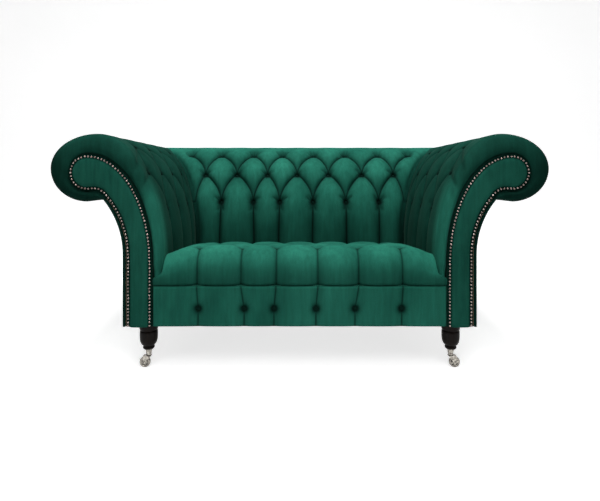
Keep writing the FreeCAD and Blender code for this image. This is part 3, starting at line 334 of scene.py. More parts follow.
def arc_points(centre, radii, start, end, count):
    """Points of an arc, round or oval."""
    turns = np.linspace(start, end, count)
    across, up = np.broadcast_to(radii, 2)
    return np.column_stack([centre[0] + across * np.cos(turns), centre[1] + up * np.sin(turns)])


def walked(line):
    """Distance along a line at each of its points."""
    return np.concatenate([[0], np.cumsum(np.linalg.norm(np.diff(line, axis=0), axis=1))])


def evenly(line, spacing):
    """Distances along a line at an even spacing, with its offsets and heights there."""
    distance = walked(line)
    along = np.linspace(0, distance[-1], int(distance[-1] / spacing) + 1)
    return along, np.interp(along, distance, line[:, 0]), np.interp(along, distance, line[:, 1])


def smoothed(values, rounds):
    """Running mean of three that keeps the ends, taken some rounds."""
    for _ in range(rounds):
        values = np.concatenate([values[:1], (values[:-2] + values[1:-1] + values[2:]) / 3, values[-1:]])
    return values


def normals(d_out, d_up):
    """Outward normals of a line from its steps."""
    length = np.hypot(d_out, d_up)
    return -d_up / length, d_out / length


# Section line of the arms and the back
def section_line(spacing):
    """Offsets, heights and outward normals at an even spacing, from the seat over the roll to the crease."""
    reach = REACH + PROUD
    foot = (reach - ROLL_FOOT[0], SCROLL_HEIGHT - ROLL_FOOT[1])
    line = joined(
        np.linspace((0, SEAM), (0, SHOULDER), 30),
        arc_points((RIDGE_OUT, SHOULDER), (RIDGE_OUT, TOP - SHOULDER), math.pi, QUARTER, 160),
        arc_points((RIDGE_OUT, SCROLL_HEIGHT), (reach - RIDGE_OUT, TOP - SCROLL_HEIGHT), QUARTER, 0, 160),
        arc_points((ROLL_FOOT[0], SCROLL_HEIGHT), foot, 0, -QUARTER, 160),
        np.linspace(ROLL_FOOT, CREASE, 20))
    along, out, up = evenly(line, spacing)
    return along, out, up, *normals(smoothed(np.gradient(out), 4), smoothed(np.gradient(up), 4))


SECTION = section_line(STEP)
ALONG, OUT, UP, NORMAL_OUT, NORMAL_UP = SECTION


def along_of_height(height):
    """Distance along the section's inner side at a height."""
    inner = UP[:np.argmax(UP) + 1]
    return float(np.interp(height, inner, ALONG[:len(inner)]))


# Stuffing, as a height over a flat sheet that pleats and buttons draw down
PLEAT_WIDTH = 0.0030
PIT = 0.015
PIT_RADIUS = 0.0125
GATHER = 0.0020
GATHER_REACH = 2.1 * PIT_RADIUS
# Painted shade round each button pit, along the fan pleats, and its greatest share
PIT_SHADE_RADIUS = 0.0165
PIT_SHADE_HEART = 1.4
DEEPEST_SHADE = 0.98
FAN_TURNS = (38, 56, 72, 88, 104, 122, 142)
FAN_LENGTH = 0.042
FAN_WIDTH = 0.0024
FAN_PULL = 0.55
FAN_SHADE = 2.0
BUTTON_MARGIN = 0.09
SOFTNESS = 0.040
STIFFNESS = 3.0
ROUNDS = 500
# Painted shade of the low places between the crowns
VALLEY_SHADE = 0.70
ARCH_BEND = 0.35
ARCH_STEPS = 14


class Stuffing:
    """Sheet of (run, line) points; its height is 1 in the open and near 0 on a pleat."""

    def __init__(self, runs, lines, relief=1.0, ink=1.0, valley=VALLEY_SHADE, softness=SOFTNESS):
        self.runs, self.lines, self.softness = runs, lines, softness
        self.relief, self.ink, self.valley = relief, ink, valley
        self.draw = np.zeros((len(lines), len(runs)))
        self.pits = np.zeros_like(self.draw)
        self.wrinkles = np.zeros_like(self.draw)
        # Painted shade of pleats, pits and gathers, as a share of light taken away
        self.dark = np.zeros_like(self.draw)

    def window(self, low, high, margin):
        """Slices of the sheet round a box, with a margin."""
        rows = slice(*np.searchsorted(self.lines, (low[1] - margin, high[1] + margin)))
        columns = slice(*np.searchsorted(self.runs, (low[0] - margin, high[0] + margin)))
        return rows, columns

    def pleat(self, points, strengths, width=PLEAT_WIDTH, dark=0.95):
        """Draw the sheet down along a line of points."""
        points, strengths = np.asarray(points, float), np.broadcast_to(strengths, len(points))
        for start, end, first, second in zip(points, points[1:], strengths, strengths[1:]):
            rows, columns = self.window(np.minimum(start, end), np.maximum(start, end), 5 * width)
            x, y = np.meshgrid(self.runs[columns], self.lines[rows])
            span = end - start
            share = ((x - start[0]) * span[0] + (y - start[1]) * span[1]) / max(span @ span, 1e-12)
            share = np.clip(share, 0, 1)
            distance = np.hypot(x - start[0] - share * span[0], y - start[1] - share * span[1])
            pull = (first + (second - first) * share) * np.exp(-(distance / width) ** 2)
            self.draw[rows, columns] = np.maximum(self.draw[rows, columns], pull)
            # Painted shade along the pleat
            self.dark[rows, columns] = np.maximum(self.dark[rows, columns], dark * self.ink * pull)

    def button(self, run, line, fan=1.0):
        """Pit of a button with gathers of cloth round it, stronger above it."""
        rows, columns = self.window((run, line), (run, line), BUTTON_MARGIN)
        x, y = np.meshgrid(self.runs[columns] - run, self.lines[rows] - line)
        distance, angle = np.hypot(x, y), np.arctan2(y, x)
        self.pits[rows, columns] += self.relief * PIT * np.exp(-(distance / PIT_RADIUS) ** 2)
        # Painted shade round the pit
        dark = self.ink * np.clip(PIT_SHADE_HEART * np.exp(-(distance / PIT_SHADE_RADIUS) ** 2), 0, 1)
        self.dark[rows, columns] = np.maximum(self.dark[rows, columns], dark)
        folds = 11 + rng.integers(0, 4)
        phase = rng.uniform(0, 2 * math.pi)
        uneven = np.sin(folds * angle + phase + 1.5 * np.sin(2 * angle + phase))
        above = 0.45 + 0.55 * np.clip(np.sin(angle), 0, 1) * fan
        reach = np.exp(-(distance / GATHER_REACH) ** 2) * np.clip(2 * distance / PIT_RADIUS, 0, 1)
        self.wrinkles[rows, columns] += self.relief * GATHER * uneven * above * reach
        for degrees in FAN_TURNS:
            turn = math.radians(degrees + rng.uniform(-7, 7))
            length = FAN_LENGTH * rng.uniform(0.7, 1.2)
            tip = (run + length * math.cos(turn), line + length * math.sin(turn))
            self.pleat([(run, line), tip], (FAN_PULL * fan, 0.0), FAN_WIDTH, FAN_SHADE)

    def solve(self):
        """Height of the stuffing, by relaxing a tight skin over it."""
        hold = (STEP / self.softness) ** 2
        stiff = hold + STIFFNESS * self.draw
        height = np.ones_like(self.draw)
        for _ in range(ROUNDS):
            padded = np.pad(height, 1, mode="edge")
            around = padded[:-2, 1:-1] + padded[2:, 1:-1] + padded[1:-1, :-2] + padded[1:-1, 2:]
            height = (around + hold) / (4 + stiff)
        return np.sqrt(np.clip(height, 0, 1))

    def settle(self, tuft):
        """Depth of the sheet under its crown and the shade of its folds."""
        height = self.solve()
        # Painted shade of pleats, pits, gathers and valleys
        folded = np.clip(self.wrinkles / GATHER, 0, 1)
        light = (1 - np.clip(self.dark, 0, DEEPEST_SHADE)) * (1 - 0.5 * self.ink * folded)
        light = light * (1 - self.valley * (1 - height))
        return tuft * (1 - height) + self.pits + self.wrinkles, 1 - light


def at_places(values, runs, places):
    """Values of a sheet's lines at the given runs of each line."""
    return np.stack([np.interp(places[line], runs, values[line]) for line in range(len(values))])


def filled(painted_shade, shape):
    """Painted shade of a surface, with zeros added after it to the shape of its closed grid."""
    full = np.zeros(shape)
    full[:painted_shade.shape[0], :painted_shade.shape[1]] = painted_shade
    return full


def overlaid(*shades):
    """Painted shade of several shades laid over each other."""
    light = 1.0
    for shade in shades:
        light = light * (1 - shade)
    return 1 - light


def arch(upper, lower):
    """Pleat from a button to a lower one: round under the upper, upright at the lower."""
    share = np.linspace(0, 1, ARCH_STEPS)
    swing = (1 - ARCH_BEND) * np.sin(share * QUARTER) + ARCH_BEND * np.sqrt(1 - (1 - share) ** 2)
    return np.array(upper) + np.subtract(lower, upper) * np.column_stack([swing, share])


ROW_SPLIT = 0.04


def rows_of(places, run_of, line_of):
    """Buttons sorted into rows from the top, each row as (run, line) in order of run."""
    marks = sorted(((run_of(foot), line_of(foot)) for foot, _ in places), key=lambda mark: -mark[1])
    rows, current = [], [marks[0]]
    for mark in marks[1:]:
        if current[-1][1] - mark[1] > ROW_SPLIT:
            rows.append(sorted(current))
            current = []
        current.append(mark)
    rows.append(sorted(current))
    return rows


# Tufting of the back
TUFT = 0.032
MM = 0.001
BACK_SHIFTS = ((-6, -8, 0, -10, -6, -4, 8, 8), (1, 1, -4, -13, -14, -4, -3), (9, 9, -20, -14, -10, -6))
ROW_HEIGHTS = (0.839, 0.733, 0.591)
RIDGE_LINE = float(ALONG[np.argmax(UP)])
FADE_LINE = RIDGE_LINE - 0.045
PLEAT_SPREAD = 0.115
PLEAT_LEAN = 0.008
SPLAY = (0.015, 0.050)
WIDE_PLEAT = 0.006
MITRE_PULL = 0.35


def on_heights(rows):
    """Rows of buttons moved to the lines of their heights on the crown."""
    return [[(run, along_of_height(height)) for run, _ in row] for row, height in zip(rows, ROW_HEIGHTS)]


def neighbours(rows):
    """Pairs of buttons in rows that touch, near enough for a pleat."""
    return [(first, second) for row, next_row in zip(rows, rows[1:]) for first in row for second in next_row
            if abs(first[0] - second[0]) < PLEAT_SPREAD]


def tuft_rows(sheet, rows):
    """Buttons of a sheet and the pleats between them, down to the seat and up towards the ridge."""
    for row in rows:
        for run, line in row:
            sheet.button(run, line)
    for upper, lower in neighbours(rows):
        sheet.pleat(arch(upper, lower), 1.0)
    for run, line in rows[0]:
        sheet.pleat([(run, line), (run, max(FADE_LINE, line + 0.01))], (1.0, 0.0))
    for run, line in rows[-1]:
        lean = rng.uniform(-PLEAT_LEAN, PLEAT_LEAN)
        sheet.pleat([(run, line), (run + lean / 2, line / 2), (run + lean, 0.0)], 1.0)
        for way in (-1, 1):
            sheet.pleat([(run, line), (run + way * SPLAY[0], line - SPLAY[1])], (0.8, 0.0))


def mitre_pleat(sheet, runs):
    """Shallow pleat along a mitre, with a run for each section line, fading out under the ridge."""
    fade = MITRE_PULL * (1 - ease(ALONG, RIDGE_LINE - 0.14, RIDGE_LINE - 0.05))
    sheet.pleat(np.column_stack([runs, ALONG])[::4], fade[::4], WIDE_PLEAT)


def back_sheet():
    """Stuffing of the back over a sheet of X values and section lines."""
    limit = HALF_WIDTH + REACH
    sheet = Stuffing(np.arange(-limit, limit + STEP, STEP), ALONG)
    rows = rows_of(button_places("back_buttons"), lambda p: p[0], lambda p: along_of_height(p[2]))
    rows = [[(run + shift * MM, line) for (run, line), shift in zip(row, shifts)]
            for row, shifts in zip(on_heights(rows), BACK_SHIFTS)]
    tuft_rows(sheet, rows)
    line = rows[2][0][1]
    for side, end in ((-1, rows[1][0]), (1, rows[1][-1])):
        mitre_pleat(sheet, side * (HALF_WIDTH + OUT))
        foot = (side * (HALF_WIDTH + np.interp(line, ALONG, OUT)), line)
        sheet.pleat(arch(end, foot), np.repeat((1.0, 0.8), ARCH_STEPS // 2))
    return sheet, rows


def with_core(surface, limits):
    """Close a grid of the skin with rows along the pad's inner faces; limits give each row's runs."""
    offsets, heights = np.array(PAD_INNER).T[..., None]
    return np.concatenate([surface, np.stack(np.broadcast_arrays(offsets, limits(offsets), heights), -1)])


MITRE_GAP = 0.0004
# Painted shade over the lower part of the back
BACK_LOW_SHADE = 0.50
BACK_LOW = (0.42, 0.68)


def back_grid(sheet, depth, shade):
    """Points of the back pad, cut off on both mitres, and their painted shade."""
    runs = sheet.runs
    limit = HALF_WIDTH + OUT[:, None]
    held = np.clip(runs, -limit, limit)
    level = at_places(depth, runs, held)
    out, up = OUT[:, None] - NORMAL_OUT[:, None] * level, UP[:, None] - NORMAL_UP[:, None] * level
    reach = HALF_WIDTH + out - MITRE_GAP
    across = np.where(np.abs(runs) >= limit, np.sign(runs) * reach, np.clip(held, -reach, reach))
    surface = np.stack([out, across, up], -1)
    closed = with_core(surface, lambda offset: np.clip(runs, -HALF_WIDTH - offset, HALF_WIDTH + offset))
    grid = np.stack([closed[..., 1], BACK_FACE + closed[..., 0], closed[..., 2]], -1)
    # Painted shade, stronger towards the bottom of the back
    low = BACK_LOW_SHADE * (1 - ease(UP, *BACK_LOW))[:, None]
    return grid, filled(overlaid(at_places(shade, runs, held), low), grid.shape[:2])


def sample(sheet, values, run, line):
    """Value of a sheet's grid nearest to a place."""
    row = int(np.argmin(np.abs(sheet.lines - line)))
    column = int(np.argmin(np.abs(sheet.runs - run)))
    return float(values[row, column])


back, back_rows = back_sheet()
back_depth, back_shade = back.settle(TUFT)
back_points, back_painted_shade = back_grid(back, back_depth, back_shade)
back_pad = skin("back_padding", back_points, back_painted_shade)
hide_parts("back_pad")


# Covered buttons
DOME_STEPS = 6


def dome(radius, height, neck, shank):
    """Radii and heights of a domed head, from the end of its narrower shank to its middle."""
    turns = np.linspace(0, QUARTER, DOME_STEPS)
    return [(radius * neck, -shank)] + [(radius * math.cos(t), height * math.sin(t)) for t in turns]


def turned_points(profile, sides):
    """Rings of points about the Z axis from (radius, height) pairs."""
    turns = np.linspace(0, 2 * math.pi, sides, endpoint=False)
    return np.array([[(radius * math.cos(t), radius * math.sin(t), height) for t in turns]
                     for radius, height in profile])


def turned_faces(rings, sides, first=0):
    """Quads of a turned piece whose points start at an index, and the caps of its two ends."""
    index = first + np.arange(rings * sides).reshape(rings, sides)
    after = np.roll(index, -1, axis=1)
    quads = np.stack([index[:-1], after[:-1], after[1:], index[1:]], -1).reshape(-1, 4)
    return quads, [index[0, ::-1], index[-1]]


def repeated(name, profile, places, sides, material, body="sofa"):
    """One turned form set at many places, each a point and the direction that its axis takes."""
    form = turned_points(profile, sides)
    points, quads, caps = [], [], []
    for number, (place, direction) in enumerate(places):
        turn = Vector((0, 0, 1)).rotation_difference(Vector(direction)).to_matrix()
        points.append(form.reshape(-1, 3) @ np.array(turn).T + np.array(place))
        faces, ends = turned_faces(len(profile), sides, number * form.shape[0] * sides)
        quads.append(faces)
        caps += ends
    return mesh_object(name, np.concatenate(points), np.concatenate(quads), caps, material, body)


BUTTON_LIFT = 0.002
BUTTON_SIDES = 20
BUTTON = dome(0.0105, 0.0065, 0.7, 0.004)
BORDER_BUTTON = dome(0.0095, 0.0055, 0.7, 0.004)


def covered_buttons(name, places, profile=BUTTON):
    """Buttons in one piece, in a velvet darkened with painted shade."""
    return repeated(name, profile, places, BUTTON_SIDES, SHADED_BUTTON_VELVET)


def pit_places(sheet, depth, rows, section, face, order=(0, 1, 2)):
    """Bottoms of the pits of a sheet's buttons and the ways they face; order turns them onto an arm."""
    along, *values = section
    places = []
    for run, line in (mark for row in rows for mark in row):
        out, up, normal_out, normal_up = (np.interp(line, along, value) for value in values)
        sink = sample(sheet, depth, run, line) - BUTTON_LIFT
        point = (run, face + (out - normal_out * sink), up - normal_up * sink)
        places.append([tuple(part[axis] for axis in order) for part in (point, (0, normal_out, normal_up))])
    return places


buttons = covered_buttons("back_covered_buttons", pit_places(back, back_depth, back_rows, SECTION, BACK_FACE))
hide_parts("back_buttons")


# Arms
FRONT_ROUND_INNER = 0.026
FRONT_ROUND_OUTER = 0.013
FRONT_BULGE = 0.0155
FRONT_LAP = 0.030
FRONT_TURN = math.radians(115)
ARM_TUFT = 0.012
ARM_RELIEF = 0.30
# Strengths of painted shade in the arm's creases and valleys
ARM_CREASE_SHADE = 0.45
ARM_VALLEY = 0.35
# Painted shade over the arm's sides, less in a painted lighter band at the front low down, more under the roll,
# and darkest in the lip at the facing
ARM_SHADE = 0.72
BAND_SHADE = 0.25
BAND_TOP = (0.60, 0.76)
UNDER_SHADE = 0.62
LIP_SHADE = 0.92
FRONT_PLEAT_ENDS = (0.760, 0.697)
GROOVE = 0.008
EAR_TOP = 0.405
EAR_RECESS = 0.75


SCROLL_RADIUS = FACING_TOP - SCROLL_CENTRE[1]
FACING_GAP = 0.0015
FACING_FOOT_OUT = BASE_OUT - FACING_GAP
HOLLOW_RADIUS = PANEL_RADIUS + PANEL_THICKNESS + FACING_GAP
HOLLOW_CENTRE = (FACING_FOOT_OUT + HOLLOW_RADIUS, PANEL_STRAIGHT)
FILLET_RADIUS = 0.045


def fillet_place():
    """Centre of the rounding between a facing's scroll and its hollow side, and the turns of its ends."""
    first, second = np.array(SCROLL_CENTRE), np.array(HOLLOW_CENTRE)
    first_radius, second_radius = SCROLL_RADIUS + FILLET_RADIUS, HOLLOW_RADIUS - FILLET_RADIUS
    gap = np.linalg.norm(second - first)
    along = (first_radius ** 2 - second_radius ** 2 + gap ** 2) / (2 * gap)
    out = math.sqrt(first_radius ** 2 - along ** 2)
    unit = (second - first) / gap
    crossings = [first + unit * along + way * out * np.array([-unit[1], unit[0]]) for way in (-1, 1)]
    centre = min(crossings, key=lambda point: point[0])
    end = math.atan2(centre[1] - first[1], centre[0] - first[0])
    return centre, end, math.atan2(centre[1] - second[1], centre[0] - second[0])


FILLET_CENTRE, SCROLL_END, FILLET_END = fillet_place()
FACING_COUNTS = {"foot": 24, "inner": 60, "scroll": 76, "fillet": 22, "hollow": 40}


def outer_edge(inset, last):
    """Edge of a facing, or a line inside it, from its top over the scroll and down the hollow to a turn."""
    counts = FACING_COUNTS
    return joined(
        arc_points(SCROLL_CENTRE, SCROLL_RADIUS - inset, QUARTER, SCROLL_END, counts["scroll"]),
        arc_points(FILLET_CENTRE, FILLET_RADIUS + inset, SCROLL_END + math.pi, FILLET_END, counts["fillet"]),
        arc_points(HOLLOW_CENTRE, HOLLOW_RADIUS + inset, FILLET_END, last, counts["hollow"]))


def facing_line(inset):
    """Edge of a facing, or a line inside it: up the seat side, over the scroll and down the hollow."""
    inner, outer = FACING_INNER + inset, FACING_FOOT_OUT - inset
    radii = (SCROLL_CENTRE[0] - inner, FACING_TOP - FACING_SHOULDER - inset)
    return joined(
        np.linspace((inner, UNDERSIDE), (inner, FACING_SHOULDER), FACING_COUNTS["foot"]),
        arc_points((SCROLL_CENTRE[0], FACING_SHOULDER), radii, math.pi, QUARTER, FACING_COUNTS["inner"]),
        outer_edge(inset, math.pi),
        np.linspace((outer, PANEL_STRAIGHT), (outer, UNDERSIDE), FACING_COUNTS["foot"]))


def groove_line():
    """Point of the facing's edge that each section line of an arm runs down to at the front."""
    ridge = int(np.argmax(UP))
    across, up = SCROLL_CENTRE[0] - FACING_INNER, FACING_TOP - FACING_SHOULDER
    turn = np.arccos(np.clip(1 - OUT[:ridge + 1] / RIDGE_OUT, -1, 1))
    straight = UP[:ridge + 1] <= SHOULDER
    inner = np.column_stack([
        np.where(straight, FACING_INNER, SCROLL_CENTRE[0] - across * np.cos(turn)),
        np.where(straight, UP[:ridge + 1], FACING_SHOULDER + up * np.sin(turn))])
    edge = outer_edge(0.0, math.pi - math.asin((CREASE[1] - PANEL_STRAIGHT) / HOLLOW_RADIUS))
    distance = walked(edge)
    share = (ALONG[ridge + 1:] - ALONG[ridge]) / (ALONG[-1] - ALONG[ridge]) * distance[-1]
    outer = np.column_stack([np.interp(share, distance, values) for values in edge.T])
    return np.concatenate([inner, outer])


GROOVE_LINE = groove_line()


def arm_sheet():
    """Stuffing of an arm over a sheet of depths, which also wraps its front, and section lines."""
    start, end = FACING_BACK - FRONT_LAP, BACK_FACE + REACH
    sheet = Stuffing(np.arange(start, end + STEP, STEP), ALONG, ARM_RELIEF, ARM_CREASE_SHADE, ARM_VALLEY)
    rows = rows_of(button_places("arm_buttons_right"), lambda p: p[1], lambda p: along_of_height(p[2]))
    rows = on_heights(rows)
    tuft_rows(sheet, rows)
    mitre_pleat(sheet, BACK_FACE + OUT)
    for row, height in zip(rows, FRONT_PLEAT_ENDS):
        sheet.pleat([row[0], (FACING_BACK, along_of_height(height))], (0.8, 0.25), WIDE_PLEAT)
    foot = (BACK_FACE + np.interp(rows[2][0][1], ALONG, OUT), rows[2][0][1])
    sheet.pleat(arch(rows[1][-1], foot), 0.9)
    return sheet, rows


def arm_grid(sheet, depth, shade):
    """Points of the right arm pad, its front rounded down to the groove, and their painted shade."""
    runs = sheet.runs
    limit = BACK_FACE + OUT[:, None]
    held = np.minimum(runs, limit)
    level = at_places(depth, runs, held)
    inner_share = (1 - ease(ALONG, RIDGE_LINE - 0.12, RIDGE_LINE + 0.05))[:, None]
    rounding = FRONT_ROUND_OUTER + (FRONT_ROUND_INNER - FRONT_ROUND_OUTER) * inner_share
    start = FACING_BACK + rounding
    share = np.clip((start - held) / (start - runs[0]), 0, 1)
    turn = FRONT_TURN * share
    across = (1 - np.cos(turn)) / (1 - math.cos(FRONT_TURN))
    inner_side = (np.arange(len(UP)) < np.argmax(UP))[:, None]
    recess = np.where(inner_side, 1 - EAR_RECESS * (1 - ease(UP, SHOULDER - 0.05, EAR_TOP)[:, None]), 1.0)
    width = np.linalg.norm(GROOVE_LINE - np.column_stack([OUT, UP]), axis=1)[:, None]
    bulge = rounding + FRONT_BULGE * recess * ease(width, 0.006, 0.030)
    facing = np.cos(np.minimum(turn, QUARTER))
    out = OUT[:, None] + (GROOVE_LINE[:, 0] - OUT)[:, None] * across - NORMAL_OUT[:, None] * level * facing
    up = UP[:, None] + (GROOVE_LINE[:, 1] - UP)[:, None] * across - NORMAL_UP[:, None] * level * facing
    reach = BACK_FACE + out - MITRE_GAP
    straight = np.where(runs >= limit, reach, np.minimum(held, reach))
    forward = bulge * np.sin(turn) - level * np.sin(np.minimum(turn, QUARTER))
    run = np.where(share > 0, start - forward + GROOVE * ease(share, 0.75, 1.0), straight)
    surface = np.stack([out, run, up], -1)
    first = surface[:, :1].copy()
    first[..., 1] = FACING_BACK
    surface = np.concatenate([first, surface], axis=1)
    ends = np.concatenate([[FACING_BACK], np.maximum(runs, FACING_BACK)])
    closed = with_core(surface, lambda offset: np.minimum(ends, BACK_FACE + offset))
    grid = np.stack([HALF_WIDTH + closed[..., 0], closed[..., 1], closed[..., 2]], -1)
    # Painted shade over the sides of the arm, with painted light in a band near the front of the inner side,
    # low down
    band = (1 - ease(held, FACING_BACK + 0.020, FACING_BACK + 0.085)) * (1 - ease(UP, *BAND_TOP))[:, None]
    side_shade = np.where(inner_side, ARM_SHADE - (ARM_SHADE - BAND_SHADE) * band, ARM_SHADE)
    # Painted shade under the roll on the outer side
    under = UNDER_SHADE * ease(ALONG, RIDGE_LINE + 0.10, RIDGE_LINE + 0.22)[:, None]
    # Painted shade in the lip where the cloth turns in at the facing
    painted_shade = np.maximum(overlaid(at_places(shade, runs, held), side_shade, under), LIP_SHADE * ease(share, 0.84, 0.97))
    return grid, filled(np.concatenate([painted_shade[:, :1], painted_shade], 1), grid.shape[:2])


arm, arm_rows = arm_sheet()
arm_depth, arm_shade = arm.settle(ARM_TUFT)


def left_places(places):
    """Places of the left-hand pieces."""
    return [((-x, y, z), (-across, along, up)) for (x, y, z), (across, along, up) in places]


arm_points, arm_painted_shade = arm_grid(arm, arm_depth, arm_shade)
arm_places = pit_places(arm, arm_depth, arm_rows, SECTION, HALF_WIDTH, (1, 0, 2))
for side, grid, places in (("right", arm_points, arm_places),
                           ("left", mirrored(arm_points), left_places(arm_places))):
    pad = skin(f"arm_padding_{side}", grid, arm_painted_shade)
    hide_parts(f"arm_pad_{side}")
    buttons = covered_buttons(f"arm_covered_buttons_{side}", places)
    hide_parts(f"arm_buttons_{side}")


# Arm facings and the nails round them
FACING_RINGS = ((0.0, 0.0), (0.001, 0.004), (0.004, 0.0065), (0.008, 0.0072), (0.012, 0.0072),
                (0.015, 0.0092), (0.019, 0.0125), (0.024, 0.0145), (0.030, 0.0155), (0.037, 0.0159),
                (0.044, 0.0160))
# Painted shade over the facings' padded middle
FACING_SHADE = 0.52


def facing_grid():
    """Rings of a right facing, from its back edge over the nail line to its crowned middle."""
    rings = [np.insert(facing_line(inset), 1, -rise, axis=1) for inset, rise in FACING_RINGS]
    return np.stack(rings) + np.array([HALF_WIDTH, FACING_BACK, 0])


def facing_piece(side, grid):
    """Padded facing from its rings, closed at the back and in the middle."""
    rings, count = grid.shape[:2]
    index = np.arange(rings * count).reshape(rings, count)
    after = np.roll(index, -1, axis=1)
    quads = np.stack([index[:-1], after[:-1], after[1:], index[1:]], -1)
    # Painted shade, darkest in the groove at the facing's edge
    shade = LIP_SHADE - (LIP_SHADE - FACING_SHADE) * ease(np.array(FACING_RINGS)[:, 0], 0.013, 0.020)
    piece = mesh_object(f"facing_{side}", grid.reshape(-1, 3), quads, [index[0, ::-1], index[-1]],
                        VELVET, painted_shade=np.repeat(shade, count))
    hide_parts(f"arm_facing_{side}")


for side, grid in (("right", facing_grid()), ("left", mirrored(facing_grid()))):
    facing_piece(side, grid)


NAIL_METAL = metal("antique_nails", (0.46, 0.38, 0.35), (0.12, 0.08, 0.07), 0.20, 220.0)
NAIL_RADIUS = 0.0035
NAIL_HEIGHT = 0.0032
NAIL_SIDES = 12
NAIL_PROFILE = dome(NAIL_RADIUS, NAIL_HEIGHT, 0.9, 0.0015)
NAIL_LIFT = 0.0005
NAIL_SHIFT = 0.0003
NAIL_TILT = 0.04


def nail_places(node):
    """Feet of the nails on the facing, each a little off its mark."""
    places = []
    for points in islands(node):
        centre = points.mean(0)
        shift = rng.normal(0, NAIL_SHIFT, 2)
        places.append(((centre[0] + shift[0], NAIL_FACE + NAIL_LIFT, centre[2] + shift[1]),
                       (rng.normal(0, NAIL_TILT), -1, rng.normal(0, NAIL_TILT))))
    return places


for side in SIDES:
    nails = repeated(f"nail_row_{side}", NAIL_PROFILE, nail_places(f"nail_trim_{side}"), NAIL_SIDES,
                     NAIL_METAL)
    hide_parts(f"nail_trim_{side}")


# Seat
SEAT_RISE = 0.012
SEAT_TUFT = 0.018
SEAT_RELIEF = 0.8
# Strengths of painted shade in the seat's creases and valleys
SEAT_CREASE_SHADE = 0.85
SEAT_VALLEY = 0.30
END_DROP = 0.034
# Painted shade, stronger low on the seat's front
SEAT_LOW_SHADE = 0.55
END_REACH = 0.130
SEAT_SHIFTS = (3, 12, -10, -9, -11, -2)
SEAT_FRONT = NAIL_FACE
SEAT_END = HALF_WIDTH - 0.001
FIRST_ROW = FRONT + 0.080
NOSE_HEIGHT = 0.372
SEAT_CROWN = 0.444
SEAT_BACK_HEIGHT = 0.402
EAR_REACH = 0.040
EAR_COLUMNS = 12
SEAM_ROUND = 0.006
# Painted shade in the seam
SEAM_SHADE = 0.8
LEAST_EAR = 0.0005


def seat_line(spacing):
    """Depths, heights and outward normals along the seat, from the seam over the nose to the back."""
    nose = (FIRST_ROW - SEAT_FRONT, SEAT_CROWN - NOSE_HEIGHT)
    depth, height = joined(
        np.linspace((SEAT_FRONT, SEAM), (SEAT_FRONT, NOSE_HEIGHT), 20),
        arc_points((FIRST_ROW, NOSE_HEIGHT), nose, math.pi, QUARTER, 60),
        np.linspace((FIRST_ROW, SEAT_CROWN), (BACK_FACE - SEAT_REAR_GAP, SEAT_BACK_HEIGHT), 60)).T
    fade = 1 - ease(depth, FIRST_ROW + 0.05, FIRST_ROW + 0.35)
    height = height + SEAT_RISE * ease(height, NOSE_HEIGHT, SEAT_CROWN) * fade
    along, depth, height = evenly(np.column_stack([depth, height]), spacing)
    depth, height = smoothed(depth, 6), smoothed(height, 6)
    return along, depth, height, *normals(np.gradient(depth), np.gradient(height))


SEAT_SECTION = seat_line(STEP)
SEAT_ALONG, SEAT_DEPTH, SEAT_UP, SEAT_NORMAL_IN, SEAT_NORMAL_UP = SEAT_SECTION


def seat_line_of(depth):
    """Line of the seat's sheet at a depth."""
    return float(np.interp(depth, SEAT_DEPTH, SEAT_ALONG))


def seat_sheet():
    """Stuffing of the seat over a sheet of X values and lines from front to back."""
    runs = np.arange(-SEAT_END, SEAT_END + STEP, STEP)
    sheet = Stuffing(runs, SEAT_ALONG, SEAT_RELIEF, SEAT_CREASE_SHADE, SEAT_VALLEY)
    rows = rows_of(button_places("seat_buttons"), lambda p: p[0], lambda p: -seat_line_of(p[1]))
    rows = [[(run, -line) for run, line in row] for row in rows]
    rows[0] = [(run + shift * MM, line) for (run, line), shift in zip(rows[0], SEAT_SHIFTS)]
    for row in rows:
        for run, line in row:
            sheet.button(run, line, fan=0.3)
    for near, far in neighbours(rows):
        sheet.pleat([near, far], 0.9)
    for run, line in rows[0]:
        sheet.pleat([(run, 0.0), (run, line)], 0.9)
    for run, line in rows[-1]:
        sheet.pleat([(run, line), (run, SEAT_ALONG[-1])], 0.9)
    for edge in (-SEAT_END, SEAT_END):
        sheet.pleat([(edge, SEAT_ALONG[-1]), (edge, rows[0][0][1] + 0.03)], (0.5, 0.2), WIDE_PLEAT)
    sheet.pleat([(-SEAT_END, SEAT_ALONG[-1]), (SEAT_END, SEAT_ALONG[-1])], 0.5, WIDE_PLEAT)
    return sheet, rows


